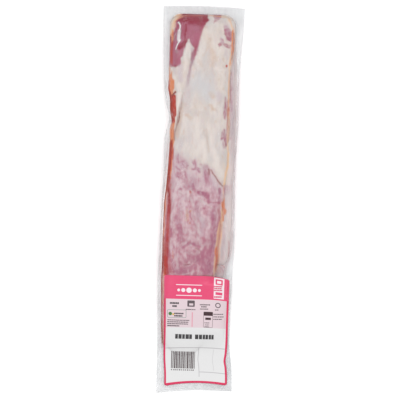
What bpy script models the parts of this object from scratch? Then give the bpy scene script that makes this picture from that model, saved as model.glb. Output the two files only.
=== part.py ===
"""Raw pork tenderloin in a clear vacuum pouch, with a self-adhesive label.

The pouch lies flat with its label up: +Z up, +Y towards the thick head end of the meat, and the
origin on the surface it lies on, under the middle of the pouch. The meat and the film that the
vacuum holds against it are one solid, with the flat welded margins of the pouch around it. The label
is a sheet of its own, draped over the tail of the meat.
"""

import bmesh
import bpy
import numpy as np

MM = 0.001

# Driving dimensions of the pouch
POUCH_LENGTH = 415.5 * MM
POUCH_WIDTH = 88.0 * MM
MARGIN_THICKNESS = 0.8 * MM

# The meat inside it, by its two ends and its fullest height
HEAD_END = 199.3 * MM
TAIL_END = -167.0 * MM
MEAT_HEIGHT = 30.0 * MM
MAIN_POWERS = (4.2, 3.8, 56.0, 14.0)
BELLY_POWERS = (6.0, 6.0, 60.0, 20.0)
BELLY_ROUNDING = 0.5
LOBE_BLEND = 1.2 * MM

# The side strap, a thin strip of muscle that lies low along the right of the main one
STRAP_HEAD = 152.0 * MM
STRAP_TAIL = -69.0 * MM
STRAP_HEIGHT = 7.5 * MM
STRAP_TUCK = 6.0 * MM
STRAP_POWERS = (3.0, 3.0, 12.0, 12.0)

# The label, and how far it stands off the film
LABEL_TOP = -79.2 * MM
LABEL_BOTTOM = -198.6 * MM
LABEL_THICKNESS = 0.35 * MM
LABEL_GAP = 0.3 * MM
LABEL_BOTTOM_RISE = 3.4 * MM
LABEL_SHOULDER_DROP = 3.6 * MM
LABEL_RIGHT_RISE = 1.0 * MM
LABEL_CORNER = 2.6 * MM

# How the free film lies
MARGIN_SLOPE = 0.22
MARGIN_WAVE = 0.7 * MM
LEFT_WAVE_LENGTH = 37.0 * MM
RIGHT_WAVE_LENGTH = 45.0 * MM
FLAP_START = -172.0 * MM
FLAP_CURL = 2.6 * MM
HEAD_BOW = 0.9 * MM
HEAD_SKEW = 0.9 * MM
HEAD_SHAPE_REACH = 10.0 * MM
TAIL_BOW = 4.9 * MM
TAIL_SKEW = 3.4 * MM
TAIL_SHAPE_REACH = 30.0 * MM

# Outlines seen from above, each a smooth line through (y, x) in millimetres
POUCH_LEFT = (
    (-207.8, -40.3), (-150.0, -40.4), (-85.0, -41.7), (-20.0, -40.2), (30.0, -38.8), (69.0, -38.0),
    (88.0, -34.4), (105.0, -38.6), (121.0, -40.6), (150.0, -42.2), (207.8, -44.0),
)
POUCH_RIGHT = (
    (-207.8, 41.2), (-175.0, 39.9), (-163.0, 38.3), (-90.0, 38.5), (-50.0, 39.9), (5.0, 38.9),
    (78.0, 39.9), (129.0, 39.9), (150.0, 40.8), (187.0, 43.2), (207.8, 44.0),
)
MEAT_LEFT = (
    (-167.0, -34.4), (-110.0, -36.5), (-77.0, -36.9), (-12.0, -36.7), (31.0, -35.3), (70.0, -33.8),
    (93.0, -32.6), (111.0, -34.8), (150.0, -36.4), (199.3, -36.6),
)
CREASE = (
    (-167.0, 11.0), (-110.0, 16.0), (-77.0, 18.8), (-61.0, 20.6), (-27.0, 24.2), (1.0, 26.8),
    (28.0, 28.9), (60.0, 29.8), (111.0, 28.8), (134.0, 29.4), (157.0, 31.8), (176.0, 32.8), (199.3, 32.2),
)
STRAP_EDGE = (
    (-167.0, 30.0), (-90.0, 33.5), (-58.0, 35.2), (-43.0, 35.8), (11.0, 35.5), (76.0, 35.7),
    (129.0, 34.8), (152.0, 34.6), (176.0, 34.8), (199.3, 34.2),
)
BELLY_RIGHT = (
    (-167.0, 11.0), (-110.0, 15.5), (-90.0, 19.0), (-76.0, 26.0), (-64.0, 32.0), (-50.0, 34.4),
    (11.0, 34.6), (76.0, 34.8), (129.0, 34.0), (199.3, 33.6),
)
LABEL_LEFT = (
    (-198.6, -30.4), (-185.0, -30.7), (-172.0, -31.7), (-135.0, -32.3), (-79.2, -33.1),
)
LABEL_RIGHT = (
    (-198.6, 35.8), (-186.0, 35.5), (-177.0, 34.7), (-171.5, 33.6), (-162.0, 34.5), (-127.0, 35.1),
    (-79.2, 35.4),
)

# Side profiles, each a smooth line through (y, z) in millimetres
CREST = (
    (-172.0, 3.0), (-165.0, 6.5), (-150.0, 11.5), (-125.0, 17.0), (-90.0, 22.0), (-50.0, 25.5),
    (0.0, 28.0), (60.0, 29.5), (120.0, 30.0), (165.0, 28.5), (182.0, 25.5), (192.0, 20.0), (199.3, 10.0),
)
SEAM = (
    (-207.8, 1.0), (-175.0, 1.3), (-150.0, 3.0), (-120.0, 5.0), (-60.0, 7.5), (0.0, 8.5),
    (60.0, 9.0), (150.0, 8.5), (190.0, 6.5), (207.8, 3.6),
)
FULLEST_CREST = 30.0

# Furrows in the meat: start and end (x, y), depth and half width, in millimetres
FURROWS = (
    ((-20.0, 112.0), (-29.5, 58.0), 1.3, 2.4),
    ((-5.0, 160.0), (-15.0, 100.0), 0.8, 3.0),
    ((11.5, 32.0), (25.0, 14.0), 1.0, 2.4),
    ((-14.0, -46.0), (6.0, -50.0), 0.9, 3.0),
    ((-13.0, -68.0), (2.0, -65.0), 0.7, 2.6),
    ((-24.0, 182.0), (-24.0, 150.0), 0.8, 2.8),
)

# Broad swellings of the meat: middle (x, y), height and radius, in millimetres
SWELLINGS = (
    ((-10.0, 168.0), 0.9, 20.0),
    ((14.0, 120.0), 0.8, 24.0),
    ((-12.0, 40.0), 0.7, 22.0),
    ((8.0, -20.0), 0.8, 20.0),
    ((-16.0, -62.0), 0.6, 16.0),
    ((12.0, 66.0), -0.7, 18.0),
)

# Mesh: how many columns each strip across the pouch takes, and the row spacing
MARGIN_COLUMNS = 2
MEAT_COLUMNS = 15
STRAP_COLUMNS = 3
ROW_SPACING = 4.3 * MM
END_ROW_SPACING = 2.4 * MM
END_ROWS_FROM = 176.0 * MM
LABEL_EDGE_STEPS = 12
LABEL_SPARE = 6.0 * MM
CUTTER_REACH = 60.0 * MM


def smooth_line(stations, at):
    """Cubic line through stations given in millimetres, read at `at` in metres, in metres."""
    place, value = (np.array(column, float) * MM for column in zip(*stations))
    slope = np.gradient(value, place)
    at = np.clip(np.asarray(at, float), place[0], place[-1])
    i = np.clip(np.searchsorted(place, at, side="right") - 1, 0, len(place) - 2)
    step = place[i + 1] - place[i]
    t = (at - place[i]) / step
    start = (2 * t**3 - 3 * t**2 + 1) * value[i] + (t**3 - 2 * t**2 + t) * step * slope[i]
    end = (3 * t**2 - 2 * t**3) * value[i + 1] + (t**3 - t**2) * step * slope[i + 1]
    return start + end


def ease(t):
    """Smooth step from 0 to 1 as t goes from 0 to 1."""
    t = np.clip(t, 0.0, 1.0)
    return t * t * (3 - 2 * t)


def smooth_max(a, b, blend):
    return (a + b + np.sqrt((a - b) ** 2 + blend**2) - blend) / 2


def fullness(x, y, left, right, head, tail, powers):
    """1 on the middle of a long rounded patch and 0 at its outline, squarer than an ellipse.

    powers are those of its left, right, head and tail sides.
    """
    u = (2 * x - left - right) / (right - left)
    v = (2 * y - head - tail) / (head - tail)
    across = np.abs(u) ** np.where(u < 0, powers[0], powers[1])
    along = np.abs(v) ** np.where(v < 0, powers[3], powers[2])
    return np.clip(1 - across - along, 0, 1)


def inside_main(x, y):
    left = smooth_line(MEAT_LEFT, y)
    right = smooth_line(CREASE, y) + LOBE_BLEND
    return fullness(x, y, left, right, HEAD_END, TAIL_END, MAIN_POWERS)


def inside_strap(x, y):
    left = smooth_line(CREASE, y) - STRAP_TUCK
    right = smooth_line(STRAP_EDGE, y)
    return fullness(x, y, left, right, STRAP_HEAD, STRAP_TAIL, STRAP_POWERS)


def inside_belly(x, y):
    """The patch on the underside that the meat presses flat."""
    left = smooth_line(MEAT_LEFT, y)
    right = smooth_line(BELLY_RIGHT, y)
    return fullness(x, y, left, right, HEAD_END, TAIL_END, BELLY_POWERS)


def slope_under_label(x, y):
    """0 to 1: film and label that span from the main muscle's shoulder down to the right margin."""
    left = smooth_line(MEAT_LEFT, y)
    right = smooth_line(STRAP_EDGE, y)
    u = np.clip((2 * x - left - right) / (right - left), -1, 1)
    across = np.sqrt(np.clip(1 - np.abs(u) ** np.where(u < 0, 6.0, 2.2), 0, 1))
    along = ease((LABEL_TOP + 6 * MM - y) / (16 * MM)) * ease((y - TAIL_END) / (30 * MM))
    return across * along


def relief(x, y):
    """Furrows and broad swellings of the meat, as a change in height."""
    change = np.zeros_like(x)
    for (x0, y0), (x1, y1), depth, half_width in FURROWS:
        dx, dy = (x1 - x0) * MM, (y1 - y0) * MM
        t = np.clip(((x - x0 * MM) * dx + (y - y0 * MM) * dy) / (dx * dx + dy * dy), 0, 1)
        away = np.hypot(x - x0 * MM - t * dx, y - y0 * MM - t * dy)
        change -= depth * MM * np.exp(-((away / (half_width * MM)) ** 2))
    for (x0, y0), height, radius in SWELLINGS:
        away = np.hypot(x - x0 * MM, y - y0 * MM)
        change += height * MM * np.exp(-((away / (radius * MM)) ** 2))
    return change


def free_film(x, y):
    """Height of the middle of the welded film, which droops and waves outside the meat."""
    left = smooth_line(MEAT_LEFT, y)
    right = smooth_line(STRAP_EDGE, y)
    beyond_left = np.clip(left - x, 0, None)
    beyond_right = np.clip(x - right, 0, None)
    film = smooth_line(SEAM, y) - MARGIN_SLOPE * (beyond_left + beyond_right)
    reach = 5 * MM
    film = film + MARGIN_WAVE * np.sin(2 * np.pi * y / LEFT_WAVE_LENGTH) * ease(beyond_left / reach)
    film = film + MARGIN_WAVE * np.sin(2 * np.pi * y / RIGHT_WAVE_LENGTH + 1.0) * ease(beyond_right / reach)
    outwards = (2 * x / POUCH_WIDTH) ** 2
    film = film + FLAP_CURL * outwards * ease((FLAP_START - y) / (30 * MM))
    return np.maximum(film, 0.7 * MM)


def surfaces(x, y):
    """Heights of the upper and the lower face of the pouch at x, y."""
    film = free_film(x, y)
    main = inside_main(x, y)
    strap = inside_strap(x, y)
    seam = smooth_line(SEAM, y)
    crest = smooth_line(CREST, y) * MEAT_HEIGHT / (FULLEST_CREST * MM)
    full = np.sqrt(main)
    rise = (crest - seam) * full + relief(x, y) * full
    rise = smooth_max(rise, STRAP_HEIGHT * np.sqrt(strap), LOBE_BLEND)
    rise = smooth_max(rise, 0.92 * (crest - seam) * slope_under_label(x, y), LOBE_BLEND)
    sunk = ease(inside_belly(x, y) / BELLY_ROUNDING)
    upper = film + MARGIN_THICKNESS / 2 + np.maximum(rise, 0)
    lower = (film - MARGIN_THICKNESS / 2) * (1 - sunk)
    return upper, lower


def row_places():
    """y of each row, closer together at the head, where the meat ends steeply."""
    half = POUCH_LENGTH / 2
    plain = np.linspace(-half, END_ROWS_FROM, round((half + END_ROWS_FROM) / ROW_SPACING) + 1)
    close = np.linspace(END_ROWS_FROM, half, round((half - END_ROWS_FROM) / END_ROW_SPACING) + 1)
    return np.concatenate([plain, close[1:]])


def column_places(y):
    """x of each column at one y: they follow the pouch's sides, the meat's foot and the crease."""
    edges = [smooth_line(line, y) for line in (POUCH_LEFT, MEAT_LEFT, CREASE, STRAP_EDGE, POUCH_RIGHT)]
    even = np.linspace(0, 1, MEAT_COLUMNS + 1)
    rounded = 0.45 * even + 0.55 * (1 - np.cos(np.pi * even)) / 2
    strips = (
        np.linspace(0, 1, MARGIN_COLUMNS + 1),
        rounded,
        np.linspace(0, 1, STRAP_COLUMNS + 1),
        np.linspace(0, 1, MARGIN_COLUMNS + 1),
    )
    places = [edges[0]]
    for start, end, strip in zip(edges, edges[1:], strips):
        places.extend(start + (end - start) * strip[1:])
    return np.array(places)


def end_shape(across, y):
    """How far the welded ends pull in from a straight cut; across runs from -1 to 1 over the width."""
    head = -HEAD_BOW * across**2 - HEAD_SKEW * (across + across**2) / 2
    tail = TAIL_BOW * (1 - across**2) + TAIL_SKEW * (across + across**2) / 2
    near_head = ease(1 + (y - POUCH_LENGTH / 2) / HEAD_SHAPE_REACH)
    near_tail = ease(1 - (y + POUCH_LENGTH / 2) / TAIL_SHAPE_REACH)
    return head * near_head + tail * near_tail


def pouch_grid():
    rows = row_places()
    x = np.stack([column_places(y) for y in rows])
    y = np.repeat(rows[:, None], x.shape[1], axis=1)
    across = 2 * (x - x[:, :1]) / (x[:, -1:] - x[:, :1]) - 1
    return x, y + end_shape(across, y)


def label_outline():
    """The label seen from above: its lower edge arches where the film runs over the tail of the meat."""
    steps = np.linspace(0, 1, LABEL_EDGE_STEPS + 1)[:-1]
    ones = np.ones_like(steps)
    across = np.concatenate([2 * steps - 1, ones, 1 - 2 * steps, -ones])
    down = np.concatenate([0 * ones, steps, ones, 1 - steps])
    y = LABEL_TOP + (LABEL_BOTTOM - LABEL_TOP) * down
    left, right = smooth_line(LABEL_LEFT, y), smooth_line(LABEL_RIGHT, y)
    x = (left + right) / 2 + (right - left) / 2 * across
    y = y + LABEL_BOTTOM_RISE * (1 - across**2) * down**2 + LABEL_RIGHT_RISE * (1 + across) * down**2
    y = y - LABEL_SHOULDER_DROP * np.clip(across, 0, 1) ** 3 * (1 - down) ** 2
    return x, y


def add_sheet(mesh, x, y, z):
    """A grid of triangles over the points, and its border as a closed ring of edges."""
    rows, columns = x.shape
    points = [[mesh.verts.new((x[r, c], y[r, c], z[r, c])) for c in range(columns)] for r in range(rows)]
    for r in range(rows - 1):
        for c in range(columns - 1):
            mesh.faces.new((points[r][c], points[r][c + 1], points[r + 1][c + 1]))
            mesh.faces.new((points[r][c], points[r + 1][c + 1], points[r + 1][c]))
    ring = points[0] + [row[-1] for row in points[1:]]
    ring = ring + points[-1][-2::-1] + [row[0] for row in points[-2:0:-1]]
    return [mesh.edges.get(pair) for pair in zip(ring, ring[1:] + ring[:1])]


def material(name, colour, roughness):
    made = bpy.data.materials.new(name)
    made.use_nodes = True
    shader = made.node_tree.nodes["Principled BSDF"]
    shader.inputs["Base Color"].default_value = (*colour, 1.0)
    shader.inputs["Roughness"].default_value = roughness
    shader.inputs["Metallic"].default_value = 0.0
    return made


def add_object(name, mesh, finish, parent):
    data = bpy.data.meshes.new(name)
    mesh.to_mesh(data)
    mesh.free()
    data.shade_smooth()
    data.set_sharp_from_angle(angle=np.radians(50))
    data.materials.append(finish)
    made = bpy.data.objects.new(name, data)
    made.parent = parent
    bpy.context.scene.collection.objects.link(made)
    return made


def make_pouch(parent):
    """Upper and lower film over the meat, joined round the welded edge into one solid."""
    x, y = pouch_grid()
    upper, lower = surfaces(x, y)
    mesh = bmesh.new()
    borders = add_sheet(mesh, x, y, upper) + add_sheet(mesh, x, y, lower)
    bmesh.ops.bridge_loops(mesh, edges=borders)
    bmesh.ops.recalc_face_normals(mesh, faces=mesh.faces)
    finish = material("lean_under_film", (0.46, 0.20, 0.25), 0.18)
    return add_object("vacuum_pack", mesh, finish, parent)


def label_cutter():
    """An upright prism over the label's outline, with its four corners rounded."""
    x, y = label_outline()
    mesh = bmesh.new()
    base = mesh.faces.new([mesh.verts.new((*point, -CUTTER_REACH)) for point in zip(x, y)])
    risen = bmesh.ops.extrude_face_region(mesh, geom=[base])["geom"]
    lid = [item for item in risen if isinstance(item, bmesh.types.BMVert)]
    bmesh.ops.translate(mesh, verts=lid, vec=(0, 0, 2 * CUTTER_REACH))
    bmesh.ops.recalc_face_normals(mesh, faces=mesh.faces)
    mesh.verts.ensure_lookup_table()
    corners = [mesh.verts[i * LABEL_EDGE_STEPS] for i in range(4)]
    upright = [edge for corner in corners for edge in corner.link_edges if edge.calc_length() > CUTTER_REACH]
    bmesh.ops.bevel(mesh, geom=upright, offset=LABEL_CORNER, segments=4, profile=0.5, affect="EDGES")
    return mesh


def make_label(parent):
    """The film's own sheet, lifted and thickened, and trimmed to the label's outline."""
    x, y = pouch_grid()
    rows = (y[:, 0] < LABEL_TOP + LABEL_SPARE) & (y[:, 0] > LABEL_BOTTOM - LABEL_SPARE)
    x, y = x[rows], y[rows]
    upper, _ = surfaces(x, y)
    mesh = bmesh.new()
    add_sheet(mesh, x, y, upper)
    finish = material("printed_label", (0.85, 0.42, 0.52), 0.45)
    label = add_object("label", mesh, finish, parent)
    outline = add_object("label_outline", label_cutter(), finish, parent)
    outline.hide_render = True
    lift = label.modifiers.new("lift", "DISPLACE")
    lift.mid_level = 0.0
    lift.strength = LABEL_GAP
    thicken = label.modifiers.new("thickness", "SOLIDIFY")
    thicken.thickness = LABEL_THICKNESS
    thicken.offset = 1.0
    trim = label.modifiers.new("outline", "BOOLEAN")
    trim.operation = "INTERSECT"
    trim.solver = "EXACT"
    trim.object = outline


def main():
    for old in list(bpy.data.objects):
        bpy.data.objects.remove(old)
    pack = bpy.data.objects.new("pack", None)
    bpy.context.scene.collection.objects.link(pack)
    make_pouch(pack)
    make_label(pack)


main()
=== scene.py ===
"""Raw pork tenderloin in its clear vacuum pouch: meat, juice, film, welds, label, print and stage.

Everything is in metres in the frame of the solids: +Z up, +Y towards the thick head end of the meat.
Tables of outlines and marks are in millimetres. Materials work in millimetres too, on Object
coordinates, so their scales read as lengths.
"""

import math

import bpy
import numpy as np
from bpy.props import FloatProperty, FloatVectorProperty, IntProperty, PointerProperty
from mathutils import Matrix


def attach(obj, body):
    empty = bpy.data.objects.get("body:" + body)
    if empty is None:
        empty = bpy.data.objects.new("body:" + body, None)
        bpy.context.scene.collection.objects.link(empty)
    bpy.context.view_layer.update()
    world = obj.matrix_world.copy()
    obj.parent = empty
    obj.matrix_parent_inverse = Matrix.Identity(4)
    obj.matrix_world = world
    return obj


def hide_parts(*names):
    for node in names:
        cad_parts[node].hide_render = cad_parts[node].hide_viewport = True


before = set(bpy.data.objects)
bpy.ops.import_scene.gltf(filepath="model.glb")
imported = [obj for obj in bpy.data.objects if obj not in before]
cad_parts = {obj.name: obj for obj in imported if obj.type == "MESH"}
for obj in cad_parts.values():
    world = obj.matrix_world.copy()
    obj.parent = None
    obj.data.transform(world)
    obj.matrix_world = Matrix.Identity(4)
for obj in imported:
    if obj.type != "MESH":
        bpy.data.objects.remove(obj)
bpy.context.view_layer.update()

bl_info = {
    "name": "Vacuum packed tenderloin",
    "version": (1, 0, 0),
    "blender": (4, 5, 0),
    "location": "View3D > Sidebar > Tenderloin",
    "description": "Makes a raw pork tenderloin in its labelled vacuum pouch",
    "category": "Add Mesh",
}

MM = 0.001
STUDIO_LEVEL = 1.35  # how bright a white sheet lies under the lights

# Outlines seen from above, each a smooth line through (y, x)
POUCH_LEFT = (
    (-207.8, -40.3), (-150, -40.4), (-85, -41.7), (-20, -40.2), (30, -38.8), (69, -38), (88, -34.4),
    (105, -38.6), (121, -40.6), (150, -42.2), (207.8, -44),
)
POUCH_RIGHT = (
    (-207.8, 41.2), (-175, 39.9), (-163, 38.3), (-90, 38.2), (-50, 39.5), (-10, 38.9), (20, 38.3),
    (48, 38.7), (78, 39.9), (129, 39.9), (150, 40.8), (187, 43.2), (207.8, 44),
)
MEAT_LEFT = (
    (-167, -35), (-110, -36.8), (-78, -37.6), (-46, -37.4), (-12, -37.2), (0, -36.7), (16, -35.3),
    (29, -34.4), (41, -33.8), (61, -33.1), (74, -33.4), (83, -31.6), (89, -32.4), (97, -33.8), (108, -33.8),
    (113, -35), (118, -36.2), (126, -35.9), (150, -35.8), (199.3, -36.2),
)
CREASE = (
    (-167, 11), (-110, 16), (-77, 18.8), (-61, 20.6), (-27, 24.2), (1, 26.8), (28, 28.9), (60, 29.8),
    (111, 28.8), (134, 29.4), (157, 31.8), (176, 32.8), (199.3, 32.2),
)
STRAP_EDGE = (
    (-167, 30), (-90, 33.5), (-58, 35.2), (-43, 35.8), (11, 35.5), (76, 35.7), (129, 34.8), (152, 34.6),
    (176, 34.8), (199.3, 34.2),
)
MEAT_RIGHT = (
    (-167, 11.6), (-110, 19), (-92, 25), (-80, 28.6), (-73, 29.6), (-67, 30.8), (-62, 33), (-56, 34.6),
    (-43, 35.4), (-25, 35.6), (5, 36.3), (40, 36.8), (75, 37.6), (123, 37.1), (150, 36.2), (175, 35),
    (199.3, 34.4),
)
CORNER_RADIUS = {"left": (12.0, 18.0), "right": (13.0, 18.0)}
BELLY_RIGHT = (
    (-167, 11), (-110, 15.5), (-90, 19), (-76, 26), (-64, 32), (-50, 34.4), (11, 34.6), (76, 34.8),
    (129, 34), (199.3, 33.6),
)
LABEL_LEFT = (
    (-199.9, -31.4), (-186, -31.8), (-173, -32.8), (-135, -33.4), (-110, -34), (-80.5, -34.8),
)
LABEL_RIGHT = (
    (-199.9, 35.8), (-188, 35.5), (-179.5, 34.7), (-174, 33.6), (-165, 34.5), (-128, 35.1), (-80.5, 35.4),
)

# Side profiles, each a smooth line through (y, z)
CREST = (
    (-172, 3), (-165, 6.5), (-150, 11.5), (-125, 17), (-90, 22), (-50, 25.5), (0, 28), (60, 29.5),
    (120, 30), (165, 28.5), (182, 25.5), (192, 20), (199.3, 10),
)
SEAM = (
    (-207.8, 1), (-175, 1.3), (-150, 3), (-120, 5), (-60, 7.5), (0, 8.5), (60, 9), (150, 8.5), (190, 6.5),
    (207.8, 3.6),
)

# How square each form is: powers at its left, right, head and tail
MAIN_POWERS = (4.2, 3.8, 56.0, 14.0)
STRAP_POWERS = (3.0, 3.0, 12.0, 12.0)
BELLY_POWERS = (6.0, 6.0, 60.0, 20.0)
BELLY_ROUNDING = 0.5
LOBE_BLEND = 1.2 * MM  # how softly the main muscle and the strap join
FILM_STAND = 0.4 * MM  # from the middle of the welded film to the film over the meat
FLOOR_ROOM = 0.04 * MM  # from the floor to the lowest film
LOWEST_SEAM = 0.7 * MM

# Bow, skew and reach of the welded ends
END_SHAPE = {"head": (0.9, 0.3, 10.0), "tail": (3.9, 3.8, 30.0)}

# Furrows: start and end (x, y), depth and half width. Swellings: middle (x, y), height and radius
FURROWS = (
    ((-20, 112), (-29.5, 58), 1.3, 2.4), ((-5, 160), (-15, 100), 0.8, 3), ((11.5, 32), (25, 14), 1, 2.4),
    ((-14, -46), (6, -50), 0.9, 3), ((-13, -68), (2, -65), 0.7, 2.6), ((-24, 182), (-24, 150), 0.8, 2.8),
)
SWELLINGS = (
    ((-10, 168), 0.9, 20), ((14, 120), 0.8, 24), ((-12, 40), 0.7, 22), ((8, -20), 0.8, 20),
    ((-16, -62), 0.6, 16), ((12, 66), -0.7, 18),
)

# Where the lean shows through the fat at the head (each outline with the most that it counts),
# and where it is bare towards the tail
HEAD_LEAN = (
    (12, (
        (-20.5, 203), (4, 203), (4.5, 195), (5.6, 191.5), (2.4, 188.2), (0.6, 185.2), (-0.6, 180),
        (-2.4, 174.1), (-3.8, 168.9), (-4.3, 163.7), (-5.5, 158.4), (-7, 153.8), (-8.8, 149.9),
        (-11, 146.3), (-12.6, 148.1), (-12.5, 155.6), (-9.7, 159.6), (-10.5, 162.8), (-13.1, 165.3),
        (-14.4, 167.9), (-15.1, 171.4), (-16.8, 168.5), (-18.3, 163.3), (-20.4, 159.3), (-20.9, 154.1),
        (-23.6, 150.1), (-22.9, 144.3), (-24.1, 142.3), (-28.6, 140.8), (-31.9, 140.8), (-38.4, 142.6),
        (-42.6, 174.2), (-31.6, 178.1), (-30.3, 183.2), (-29.7, 191), (-27.2, 195.2),
    )),
    (0.45, (
        (11.2, 202.4), (18.3, 202), (18.4, 196.1), (15.9, 192.8), (12.7, 190.7), (10.8, 188.7),
        (11.2, 193.3), (10.3, 196.5),
    )),
    (0.5, (
        (22, 182.6), (26.6, 183.7), (29.9, 180.2), (31, 175), (29.5, 169.8), (26.9, 170.4), (24.2, 173.6),
        (22.1, 177.4),
    )),
    (0.25, (
        (18.1, 173.1), (20.4, 171.2), (22.5, 167.3), (25.7, 166.5), (29.3, 165.6), (28.8, 162.5),
        (24.5, 163.2), (20.6, 165.7), (17.1, 163.9), (16, 166.2), (18.5, 168.8),
    )),
)
TAIL_LEAN = (
    (-41.1, 56.5), (-29.4, 53.6), (-26.9, 45.9), (-24.1, 49.2), (-20.7, 42.9), (-16.7, 41.3), (-14.1, 39.1),
    (-12, 34), (-8, 32.8), (-6.6, 40.7), (-3.7, 40.7), (-2.5, 33), (1.1, 29.7), (3.7, 30.6), (8, 34.4),
    (10.9, 33.7), (16.8, 26.4), (20.8, 21.3), (25.5, 15.6), (30, 8), (30, -180), (-48, -180), (-48, 30),
)

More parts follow.
